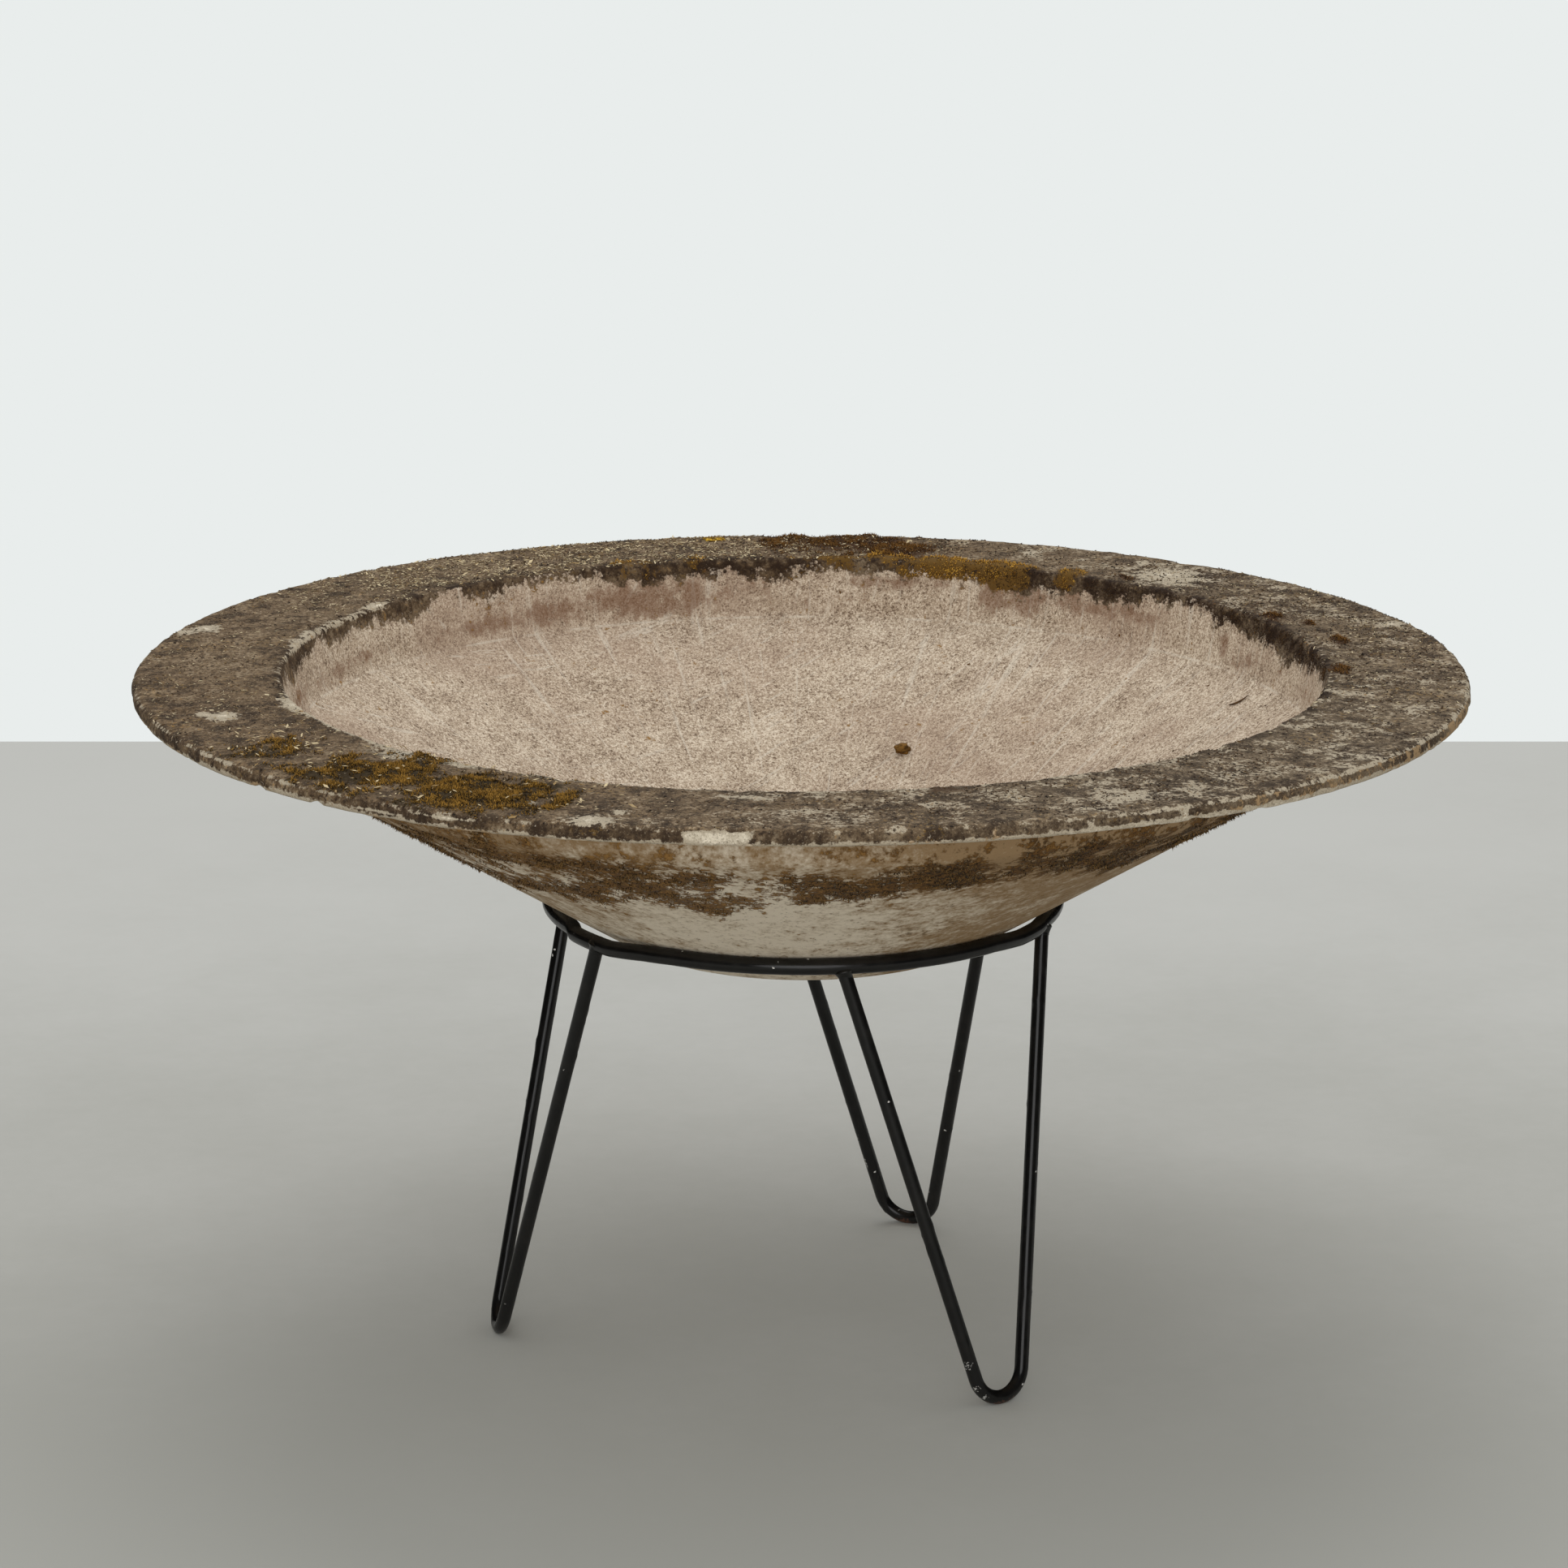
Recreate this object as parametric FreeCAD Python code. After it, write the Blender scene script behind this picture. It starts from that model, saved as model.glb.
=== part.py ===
import FreeCAD, Part
import math
import os

from FreeCAD import Placement, Rotation, Vector

# Bowl planter on a hairpin stand: a turned fibre-cement bowl set loose in a welded steel hoop.
# Millimetres, +Z up. The origin is on the floor, under the bowl's axis.

# Bowl shell, with heights measured from the underside of its base
rim_diameter = 1000.0
bowl_height = 215.2
flange_width = 107.0
flange_thickness = 12.0
wall = 9.0
neck_draft = math.radians(11.0)
cone_slope = math.radians(31.5)
base_radius = 128.0
drain_diameter = 30.0

# Rounding of the bowl's corners
rim_top_round = 6.0
rim_bottom_round = 3.0
lip_round = 4.0
flange_root_round = 8.0
shoulder_round = 15.0
base_round = 80.0

# Stand: a hoop of round bar on three hairpin legs of thinner bar
stand_height = 345.0
hoop_diameter = 386.0
hoop_bar_diameter = 12.0
leg_bar_diameter = 10.0
leg_names = ("leg_front", "leg_back", "leg_left")
first_leg_angle = math.radians(-60.0)
leg_spread = math.radians(30.0)
foot_radius = 238.0
foot_bend_radius = 23.0
foot_flat_depth = 0.4

# Weld beads
weld_leg = 3.5
weld_hollow_share = 0.15
seam_weld_length = 9.0
seam_weld_crown = 1.4
seam_weld_top_share = 0.4
seam_weld_angle = math.radians(120.0)

# Fits
seat_clearance = 0.3
weld_clearance = 0.1
cut_overrun = 5.0

up = Vector(0, 0, 1)
along_y = Vector(0, 1, 0)
centre = Vector(0, 0, 0)

hoop_radius = hoop_diameter / 2
bar_radius = hoop_bar_diameter / 2
rod_radius = leg_bar_diameter / 2
hoop_height = stand_height - bar_radius
hoop_centre = Vector(0, 0, hoop_height)


def round_corner(before, corner, after, radius):
    """Start, middle and end of the arc that rounds one corner of an outline, or the bare corner."""
    if radius == 0:
        return [corner]
    back = (before - corner).normalize()
    ahead = (after - corner).normalize()
    half_angle = back.getAngle(ahead) / 2
    reach = radius / math.tan(half_angle)
    inset = radius / math.sin(half_angle) - radius
    return [corner + back * reach, corner + (back + ahead).normalize() * inset, corner + ahead * reach]


def rounded_face(corners):
    """Plane face inside a closed outline, given as corner points that each have a rounding radius."""
    points = [point for point, radius in corners]
    count = len(corners)
    spans = []
    for index, (point, radius) in enumerate(corners):
        spans.append(round_corner(points[index - 1], point, points[(index + 1) % count], radius))
    edges = []
    for index, span in enumerate(spans):
        if len(span) > 1:
            edges.append(Part.Arc(*span).toShape())
        edges.append(Part.LineSegment(span[-1], spans[(index + 1) % count][0]).toShape())
    return Part.Face(Part.Wire(edges))


def arc_edge(start, middle, end):
    """Circular edge through three points."""
    return Part.Arc(start, middle, end).toShape()


def line_edge(start, end):
    """Straight edge between two points."""
    return Part.LineSegment(start, end).toShape()


def at_angle(shape, angle):
    """Copy of a shape that was made on the +X side, turned about the bowl's axis."""
    turned = shape.copy()
    turned.rotate(centre, up, math.degrees(angle))
    return turned


def bowl_seat_height():
    """Height of the base's underside when the outer cone lies on the hoop."""
    cone_rise = (hoop_radius - base_radius) * math.tan(cone_slope)
    return hoop_height + (bar_radius + seat_clearance) / math.cos(cone_slope) - cone_rise


def shoulder_corner(neck_top, cone_foot):
    """Point where a neck line, drawn down from neck_top, meets a cone line, drawn up from cone_foot."""
    cone_pitch = math.tan(cone_slope)
    neck_lean = math.tan(neck_draft)
    cone_height = cone_foot.z + (neck_top.x - cone_foot.x) * cone_pitch
    drop = (neck_top.z - cone_height) / (1 - neck_lean * cone_pitch)
    return Vector(neck_top.x - drop * neck_lean, 0, neck_top.z - drop)


def make_bowl():
    """Shell of even wall turned about the axis: flat flange, steep neck, cone, flat base, drain hole."""
    rim_radius = rim_diameter / 2
    drain_radius = drain_diameter / 2
    underside = bowl_height - flange_thickness
    lip = Vector(rim_radius - flange_width, 0, bowl_height)

    outer_foot = Vector(base_radius, 0, 0)
    inner_foot = Vector(base_radius - wall * math.tan(cone_slope / 2), 0, wall)
    neck_offset = wall / math.cos(neck_draft)
    outer_root_radius = lip.x + neck_offset - flange_thickness * math.tan(neck_draft)
    outer_root = Vector(outer_root_radius, 0, underside)

    outline = [
        (Vector(drain_radius, 0, 0), 0),
        (outer_foot, base_round),
        (shoulder_corner(outer_root, outer_foot), shoulder_round + wall),
        (outer_root, flange_root_round),
        (Vector(rim_radius, 0, underside), rim_bottom_round),
        (Vector(rim_radius, 0, bowl_height), rim_top_round),
        (lip, lip_round),
        (shoulder_corner(lip, inner_foot), shoulder_round),
        (inner_foot, base_round - wall),
        (Vector(drain_radius, 0, wall), 0),
    ]
    bowl = rounded_face(outline).revolve(centre, up, 360)
    bowl.translate(Vector(0, 0, bowl_seat_height()))
    return bowl


def make_hoop(clearance=0):
    """Closed hoop of round bar, or the space that it takes with a clearance all round."""
    return Part.makeTorus(hoop_radius, bar_radius + clearance, hoop_centre, up)


class Hairpin:
    """Centre line of a hairpin leg on the +X side: two straight rods tangent to one foot bend."""

    def __init__(self):
        self.top_middle = Vector(hoop_radius * math.cos(leg_spread), 0, hoop_height)
        self.foot = Vector(foot_radius, 0, rod_radius - foot_flat_depth)
        self.half_width = hoop_radius * math.sin(leg_spread)
        self.rise = (self.top_middle - self.foot).normalize()
        bend_height = (self.top_middle - self.foot).Length - foot_bend_radius
        reach = math.hypot(self.half_width, bend_height)
        self.half_opening = math.acos(foot_bend_radius / reach) - math.atan2(bend_height, self.half_width)
        self.bend_centre = self.foot + self.rise * foot_bend_radius

    def top(self, side):
        """Where the rod on one side, +1 or -1, meets the hoop's centre line."""
        return self.top_middle + along_y * (side * self.half_width)

    def bend_end(self, side):
        """Where that rod runs into the foot bend."""
        outward = along_y * (side * math.cos(self.half_opening)) - self.rise * math.sin(self.half_opening)
        return self.bend_centre + outward * foot_bend_radius

    def direction(self, side):
        """Unit vector up the rod on one side."""
        return (self.top(side) - self.bend_end(side)).normalize()

    def path(self):
        """Rod, bend and rod as one wire."""
        return Part.Wire([
            line_edge(self.top(1), self.bend_end(1)),
            arc_edge(self.bend_end(1), self.foot, self.bend_end(-1)),
            line_edge(self.bend_end(-1), self.top(-1)),
        ])


def make_leg(hairpin):
    """Bent rod with both ends coped to the hoop and a small flat worn under its foot."""
    section = Part.Wire(Part.makeCircle(rod_radius, hairpin.top(1), hairpin.direction(1)))
    rod = hairpin.path().makePipe(Part.Face(section))
    side = 2 * (foot_bend_radius + leg_bar_diameter + cut_overrun)
    floor = Part.makeBox(side, side, side, Vector(foot_radius - side / 2, -side / 2, -side))
    return rod.cut(make_hoop(weld_clearance)).cut(floor)


def make_leg_weld(hairpin, side):
    """Fillet bead round the top of one rod, hollow towards the rod and rounded against the hoop."""
    inner = rod_radius + weld_clearance
    level = -bar_radius
    toe = Vector(inner, 0, level - weld_leg)
    brim = Vector(inner + weld_leg, 0, level)
    crown = Vector(inner, 0, level + weld_leg)
    slant = math.sqrt(0.5)
    hollow = (toe + brim) * 0.5 + Vector(-slant, 0, slant) * (weld_leg * weld_hollow_share)
    bulge = Vector(inner + weld_leg * slant, 0, level + weld_leg * slant)
    outline = [arc_edge(toe, hollow, brim), arc_edge(brim, bulge, crown), line_edge(crown, toe)]
    bead = Part.Face(Part.Wire(outline)).revolve(centre, up, 360)
    bead.Placement = Placement(hairpin.top(side), Rotation(up, hairpin.direction(side)))
    return bead.cut(make_hoop(weld_clearance))


def make_seam_weld():
    """Half collar over the hoop's butt joint, on the side turned away from the bowl."""
    joint = Vector(hoop_radius, 0, hoop_height)
    out = Vector(math.cos(cone_slope), 0, math.sin(cone_slope))
    inner = joint + out * (bar_radius + weld_clearance)
    crown = inner + out * seam_weld_crown
    half = along_y * (seam_weld_length / 2)
    top = half * seam_weld_top_share
    outline = Part.makePolygon([inner - half, crown - top, crown + top, inner + half, inner - half])
    return Part.Face(outline).revolve(joint, along_y, 180)


def make_nodes():
    """Every piece of the planter by name, in its place."""
    nodes = {"bowl": make_bowl(), "hoop": make_hoop()}
    nodes["hoop_seam_weld"] = at_angle(make_seam_weld(), seam_weld_angle)
    hairpin = Hairpin()
    leg = make_leg(hairpin)
    welds = {"a": make_leg_weld(hairpin, -1), "b": make_leg_weld(hairpin, 1)}
    for index, name in enumerate(leg_names):
        angle = first_leg_angle + index * math.tau / len(leg_names)
        nodes[name] = at_angle(leg, angle)
        for letter, weld in welds.items():
            nodes[name + "_weld_" + letter] = at_angle(weld, angle)
    return nodes


os.makedirs("parts", exist_ok=True)
for node_name, shape in make_nodes().items():
    solid_count = len(shape.Solids)
    print(node_name, shape.ShapeType, solid_count, "valid" if shape.isValid() else "NOT VALID",
          "volume %.1f" % shape.Volume)
    shape.exportStep("parts/" + node_name + ".step")
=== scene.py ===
"""Looks of a weathered bowl planter: a fibre-cement bowl that lies in a black hairpin stand.

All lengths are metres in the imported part's frame: +Z up, origin on the floor under the bowl's axis.
Angles about the axis are degrees, counter-clockwise from +X. The camera looks from about 261 degrees.
"""

from __future__ import annotations

import logging
import math
from collections.abc import Sequence
from dataclasses import dataclass, field
from enum import Enum

import bpy
import numpy as np
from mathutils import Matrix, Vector


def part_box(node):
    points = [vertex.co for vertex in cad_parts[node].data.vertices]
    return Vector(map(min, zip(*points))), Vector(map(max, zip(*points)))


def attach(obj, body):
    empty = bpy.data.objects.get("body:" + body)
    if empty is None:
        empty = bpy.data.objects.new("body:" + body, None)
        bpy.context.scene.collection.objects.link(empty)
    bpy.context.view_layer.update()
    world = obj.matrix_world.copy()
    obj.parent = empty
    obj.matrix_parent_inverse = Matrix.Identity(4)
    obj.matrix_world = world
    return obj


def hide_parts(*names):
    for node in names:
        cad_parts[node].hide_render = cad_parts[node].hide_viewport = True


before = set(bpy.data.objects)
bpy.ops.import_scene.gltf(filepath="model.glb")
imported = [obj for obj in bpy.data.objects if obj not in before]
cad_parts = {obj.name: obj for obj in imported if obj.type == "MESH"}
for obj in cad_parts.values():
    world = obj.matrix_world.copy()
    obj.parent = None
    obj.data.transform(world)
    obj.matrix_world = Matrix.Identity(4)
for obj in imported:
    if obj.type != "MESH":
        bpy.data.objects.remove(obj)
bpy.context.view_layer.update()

LOG = logging.getLogger("bowl_planter")
MM = 0.001
FULL_TURN = 360.0
FLAKE_THICKNESS = 0.7 * MM
SPIKE_TURNS = 7
RIDGE_CREST = 1.3
MIX_UNDER, MIX_OVER, MIX_RESULT = 6, 7, 2

Array = np.ndarray
Colour = tuple[float, float, float, float]
Socket = bpy.types.NodeSocket
Stations = Sequence[tuple[float, float]]
Triple = tuple[float, float, float]
Input = Socket | Colour | Triple | float
UP = np.array((0.0, 0.0, 1.0))


class Body(Enum):
    """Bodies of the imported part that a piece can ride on."""

    BOWL = "bowl"
    STAND = "stand"


class Slot(Enum):
    """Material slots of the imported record."""

    CEMENT = "fibre_cement"
    STEEL = "black_steel"


class Zone(Enum):
    """Stretches of the bowl's outline, in the order in which the outline runs."""

    BASE_UNDER = "base_under"
    CONE_OUTSIDE = "cone_outside"
    NECK = "neck"
    FLANGE_UNDER = "flange_under"
    EDGE = "edge"
    FLANGE = "flange"
    WALL = "wall"
    CONE_INSIDE = "cone_inside"
    BASE_INSIDE = "base_inside"
    DRAIN = "drain"


class Kind(Enum):
    """What lies on the bowl, by the name of its value in the mesh."""

    CRUST = "crust"
    BARE = "bare"
    STAIN = "stain"
    GROWTH = "growth"
    OLIVE = "olive"
    RUSSET = "russet"
    GOLD = "gold"


def srgb(red: int, green: int, blue: int) -> Colour:
    """Linear colour, with full alpha, of a screen colour given as three numbers up to 255."""
    screen = np.array((red, green, blue)) / 255
    linear = np.where(screen <= 0.04045, screen / 12.92, ((screen + 0.055) / 1.055) ** 2.4)
    return (*(float(value) for value in linear), 1.0)


def lattice_value(cell: Array, seed: int) -> Array:
    """Random number from 0 to 1 that belongs to a cell of a cubic lattice.

    The cell's three whole numbers are multiplied by large odd numbers, added and mixed bit by bit.

    Args:
        cell: Lattice cells, one row of three whole numbers each.
        seed: Number that sets one field of values apart from another.

    Returns:
        One number for each row.
    """
    mask = 0xFFFFFFFF
    mixed = (cell.astype(np.int64) @ np.array((374761393, 668265263, 1274126177)) + seed * 362437) & mask
    for shift in (15, 13):
        mixed = ((mixed ^ (mixed >> shift)) * 1103515245) & mask
    return (mixed ^ (mixed >> 16)) / mask


def value_noise(points: Array, scale: float, seed: int) -> Array:
    """Smooth random field: lattice values at a cell's eight corners, eased into each other.

    Args:
        points: Places, one row of three coordinates each.
        scale: Lattice cells to the metre.
        seed: Number of the field.

    Returns:
        A value from 0 to 1 for each place.
    """
    scaled = points * scale
    base = np.floor(scaled)
    ease = scaled - base
    ease = ease * ease * (3 - 2 * ease)
    total = np.zeros(len(points))
    for corner in np.ndindex(2, 2, 2):
        weight = np.where(corner, ease, 1 - ease).prod(axis=1)
        total += weight * lattice_value(base + corner, seed)
    return total


def fractal(points: Array, scale: float, octaves: int, seed: int) -> Array:
    """Sum of noise fields, each twice as fine and half as strong as the one before, from 0 to 1."""
    total = np.zeros(len(points))
    reach = 0.0
    for octave in range(octaves):
        share = 0.5**octave
        total += share * value_noise(points, scale * 2**octave, seed + octave)
        reach += share
    return total / reach


def round_line(angle: Array, stations: Stations) -> Array:
    """Value at each angle, running straight from one (angle, value) station to the next round the circle."""
    at, values = np.array(stations).T
    return np.interp(angle, at, values, period=FULL_TURN)


def unit(vectors: Array) -> Array:
    """Vectors of length one in the same directions."""
    return vectors / np.linalg.norm(vectors, axis=-1, keepdims=True)


@dataclass
class Surface:
    """Points and faces of one piece, with the named values that its finish reads.

    Attributes:
        points: Places, one row each.
        faces: Rows of three or four point numbers, counter-clockwise seen from outside.
        values: One number, or a row of three, for each point under each name.
        smooth: Whether the faces are shaded as one curved skin.
        fans: Further rows of three point numbers, which close a grid's ends.
    """

    points: Array
    faces: Array
    values: dict[str, Array] = field(default_factory=dict)
    smooth: bool = True
    fans: Array = field(default_factory=lambda: np.empty((0, 3), int))

    def mesh(self, name: str) -> bpy.types.Mesh:
        """Mesh with these points, faces and values."""
        mesh = bpy.data.meshes.new(name)
        corners = np.concatenate([self.faces.ravel(), self.fans.ravel()])
        sides = np.repeat([self.faces.shape[1], 3], [len(self.faces), len(self.fans)])
        mesh.vertices.add(len(self.points))
        mesh.vertices.foreach_set("co", self.points.astype(np.float32).ravel())
        mesh.loops.add(len(corners))
        mesh.loops.foreach_set("vertex_index", corners.astype(np.int32))
        mesh.polygons.add(len(sides))
        mesh.polygons.foreach_set("loop_start", (np.cumsum(sides) - sides).astype(np.int32))
        mesh.polygons.foreach_set("use_smooth", np.full(len(sides), self.smooth))
        for key, numbers in self.values.items():
            if numbers.ndim == 1:
                layer = mesh.attributes.new(key, "FLOAT", "POINT")
                layer.data.foreach_set("value", numbers.astype(np.float32))
            else:
                layer = mesh.attributes.new(key, "FLOAT_VECTOR", "POINT")
                layer.data.foreach_set("vector", numbers.astype(np.float32).ravel())
        mesh.update(calc_edges=True)
        mesh.validate()
        return mesh


def put_piece(
    name: str,
    surface: Surface,
    finish: bpy.types.Material,
    body: Body,
    stands_for: Sequence[str] = (),
) -> None:
    """Adds a piece of the planter to the scene and ties it to its body.

    Args:
        name: Name of the piece.
        surface: Its shape.
        finish: Its material.
        body: Body that it rides on.
        stands_for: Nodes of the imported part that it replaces.
    """
    piece = bpy.data.objects.new(name, surface.mesh(name))
    piece.data.materials.append(finish)
    bpy.context.scene.collection.objects.link(piece)
    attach(piece, body.value)
    if stands_for:
        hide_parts(*stands_for)
    LOG.info("%s: %d points, %d faces", name, len(surface.points), len(surface.faces))


def joined_grid(rows: int, columns: int, close_rows: bool) -> Array:
    """Faces of a grid of points whose columns close on themselves, and whose rows do so on request.

    Args:
        rows: Number of rows of points.
        columns: Number of points in a row.
        close_rows: Whether the last row joins the first.

    Returns:
        Rows of four point numbers.
    """
    row = np.arange(rows if close_rows else rows - 1)[:, None]
    column = np.arange(columns)[None, :]
    here = row * columns
    ahead = (row + 1) % rows * columns
    after = (column + 1) % columns
    return np.stack([here + column, here + after, ahead + after, ahead + column], axis=-1).reshape(-1, 4)


def capped_grid(rings: Array, start: Array, end: Array) -> Surface:
    """Rows of points that close round, with a point at each end that a fan of triangles joins on.

    Args:
        rings: Points by row and by place in the row.
        start: Point before the first row.
        end: Point after the last row.

    Returns:
        The closed surface.
    """
    rows, columns = rings.shape[:2]
    first = np.arange(columns)
    last = first + (rows - 1) * columns
    centre = rows * columns
    fans = np.concatenate([
        np.stack([np.full(columns, centre), np.roll(first, -1), first], axis=-1),
        np.stack([np.full(columns, centre + 1), last, np.roll(last, -1)], axis=-1),
    ])
    points = np.concatenate([rings.reshape(-1, 3), start[None], end[None]])
    return Surface(points, joined_grid(rows, columns, close_rows=False), fans=fans)


def spikes(base: Array, along: Array, length: Array, width: Array, tone: Array) -> Surface:
    """Closed three-sided spikes: three corners set evenly round a base point, and one tip.

    A corner is the base point plus the width along a direction square to the spike, turned by a third
    of a circle for each corner. The tip is the base point plus the length along the spike.

    Args:
        base: Middle of each foot.
        along: Unit direction of each spike.
        length: Length of each spike.
        width: Half width of each foot.
        tone: Number of each spike, from 0 to 1, that varies its colour.

    Returns:
        The spikes as one surface, with the values tone and tip.
    """
    count = len(base)
    helper = np.where(np.abs(along[:, 2:]) < 0.8, (0.0, 0.0, 1.0), (1.0, 0.0, 0.0))
    side = unit(np.cross(along, helper))
    other = np.cross(along, side)
    start = tone * math.tau * SPIKE_TURNS
    points = np.empty((count, 4, 3))
    for corner in range(3):
        turn = (start + corner * math.tau / 3)[:, None]
        points[:, corner] = base + (np.cos(turn) * side + np.sin(turn) * other) * width[:, None]
    points[:, 3] = base + along * length[:, None]
    pattern = np.array([(0, 2, 1), (0, 1, 3), (1, 2, 3), (2, 0, 3)])
    faces = (np.arange(count)[:, None, None] * 4 + pattern).reshape(-1, 3)
    values = {"tone": np.repeat(tone, 4), "tip": np.tile((0.0, 0.0, 0.0, 1.0), count)}
    return Surface(points.reshape(-1, 3), faces, values, smooth=False)


def flakes(base: Array, along: Array, out: Array, length: Array, width: Array, tone: Array) -> Surface:
    """Closed flat chips with six corners: a lengthwise sliver that is thickest along its middle.

    The corners are the two ends, the two sides, and a ridge point above and below the middle.

    Args:
        base: Middle of each chip.
        along: Unit direction of each chip's length.
        out: Unit direction away from what the chip lies on.
        length: Length of each chip.
        width: Width of each chip.
        tone: Number of each chip, from 0 to 1, that varies its colour.

    Returns:
        The chips as one surface, with the value tone.
    """
    count = len(base)
    half = along * length[:, None] / 2
    side = np.cross(out, along) * width[:, None] / 2
    rise = out * np.minimum(width, FLAKE_THICKNESS)[:, None] / 2
    skew = half * (tone[:, None] - 0.5)
    side = side + skew
    points = np.stack([base - half, base + side, base + half, base - side, base + rise, base - rise], axis=1)
    above = [(4, 0, 3), (4, 3, 2), (4, 2, 1), (4, 1, 0)]
    below = [(5, 3, 0), (5, 2, 3), (5, 1, 2), (5, 0, 1)]
    pattern = np.array(above + below)
    faces = (np.arange(count)[:, None, None] * 6 + pattern).reshape(-1, 3)
    return Surface(points.reshape(-1, 3), faces, {"tone": np.repeat(tone, 6)}, smooth=False)


class Shader:
    """A node material in the making, with one short method for each kind of node it uses."""

    def __init__(self, name: str) -> None:
        """Starts a material that holds only its surface shader.

        Args:
            name: Name of the material.
        """
        self.material = bpy.data.materials.new(name)
        self.material.use_nodes = True
        self.nodes = self.material.node_tree.nodes
        self.links = self.material.node_tree.links
        self.surface = self.nodes["Principled BSDF"]
        self.place = self.nodes.new("ShaderNodeTexCoord").outputs["Object"]

    def feed(self, socket: Socket, value: Input) -> None:
        """Links a socket to another, or sets it to a constant."""
        if isinstance(value, bpy.types.NodeSocket):
            self.links.new(value, socket)
        else:
            socket.default_value = value

    def _node(self, kind: str, inputs: dict[str | int, Input], **settings: str) -> bpy.types.Node:
        """Adds a node with some settings, whose inputs are linked to sockets or set to constants."""
        node = self.nodes.new("ShaderNode" + kind)
        for key, setting in settings.items():
            setattr(node, key, setting)
        for key, value in inputs.items():
            self.feed(node.inputs[key], value)
        return node

    def _math(self, operation: str, *inputs: Input) -> Socket:
        """Result of a sum or product of sockets and numbers."""
        return self._node("Math", dict(enumerate(inputs)), operation=operation).outputs["Value"]

    def number(self, name: str) -> Socket:
        """Number that the piece holds at each point under a name."""
        return self._node("Attribute", {}, attribute_name=name).outputs["Fac"]

    def triple(self, name: str) -> Socket:
        """Row of three that the piece holds at each point under a name."""
        return self._node("Attribute", {}, attribute_name=name).outputs["Vector"]

    def stretch(self, scale: Triple, turn: float = 0.0, at: Socket | None = None) -> Socket:
        """Coordinates scaled along each axis after a turn about Z, in degrees."""
        inputs = {
            "Vector": at or self.place,
            "Rotation": (0, 0, math.radians(turn)),
            "Scale": tuple(1 / value for value in scale),
        }
        return self._node("Mapping", inputs, vector_type="TEXTURE").outputs["Vector"]

    def noise(self, scale: float, detail: float, roughness: float = 0.5, at: Socket | None = None) -> Socket:
        """Fractal noise from 0 to 1, with a number of cells to the metre and of finer layers."""
        inputs = {"Vector": at or self.place, "Scale": scale, "Detail": detail, "Roughness": roughness}
        return self._node("TexNoise", inputs).outputs["Fac"]

    def cells(self, scale: float) -> tuple[Socket, Socket]:
        """Distance to the nearest of many scattered points, and that point's random colour."""
        node = self._node("TexVoronoi", {"Vector": self.place, "Scale": scale})
        return node.outputs["Distance"], node.outputs["Color"]

    def sum(self, *terms: tuple[Socket, float]) -> Socket:
        """Sum of sockets, each times its weight."""
        total: Socket | float = 0.0
        for socket, weight in terms:
            total = self._math("MULTIPLY_ADD", socket, weight, total)
        return total

    def times(self, first: Socket, second: Socket) -> Socket:
        """Product of two sockets."""
        return self._math("MULTIPLY", first, second)

    def ease(self, value: Socket, low: float, high: float, top: float = 1.0, bottom: float = 0.0) -> Socket:
        """Smooth step from bottom, where the value is low, to top, where it is high."""
        inputs = {"Value": value, "From Min": low, "From Max": high, "To Min": bottom, "To Max": top}
        return self._node("MapRange", inputs, interpolation_type="SMOOTHSTEP").outputs["Result"]

    def blend(self, amount: Socket, under: Socket | Colour, over: Socket | Colour) -> Socket:
        """Colour laid over another by an amount."""
        inputs = {0: amount, MIX_UNDER: under, MIX_OVER: over}
        return self._node("Mix", inputs, data_type="RGBA").outputs[MIX_RESULT]

    def lay(
        self,
        under: Socket | Colour,
        over: Socket | Colour,
        value: Socket,
        low: float,
        high: float,
        top: float = 1.0,
    ) -> Socket:
        """Colour laid over another by the smooth step of a value from low to high."""
        return self.blend(self.ease(value, low, high, top), under, over)

    def bump(self, height: Socket, depth: float) -> None:
        """Dents the surface shading by a height field whose full range is a depth in metres."""
        node = self._node("Bump", {"Height": height, "Distance": depth})
        self.links.new(node.outputs["Normal"], self.surface.inputs["Normal"])

    def gloss(self, weight: float, roughness: Socket | float) -> None:
        """Lays a thin clear coat over the surface."""
        self.surface.inputs["Coat Weight"].default_value = weight
        self.feed(self.surface.inputs["Coat Roughness"], roughness)

    def finish(self, colour: Socket, roughness: Socket | float, specular: float) -> bpy.types.Material:
        """Wires colour, roughness and shine into the surface shader and returns the material."""
        self.feed(self.surface.inputs["Base Color"], colour)
        self.feed(self.surface.inputs["Roughness"], roughness)
        self.surface.inputs["Specular IOR Level"].default_value = specular
        return self.material


@dataclass
class Grain:
    """Noise fields that the bowl's finish shares: wide clouds first, then ever finer ones."""

    make: Shader
    cloud: Socket
    blotch: Socket
    mottle: Socket
    fine: Socket
    sand: Socket
    grit: Socket
    drip: Socket

    def mix(self, *plain: Socket, **weights: float) -> Socket:
        """Sum of some sockets and of this grain's fields, each field times its weight."""
        terms = [(socket, 1.0) for socket in plain]
        terms += [(getattr(self, name), weight) for name, weight in weights.items()]
        return self.make.sum(*terms)


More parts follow.
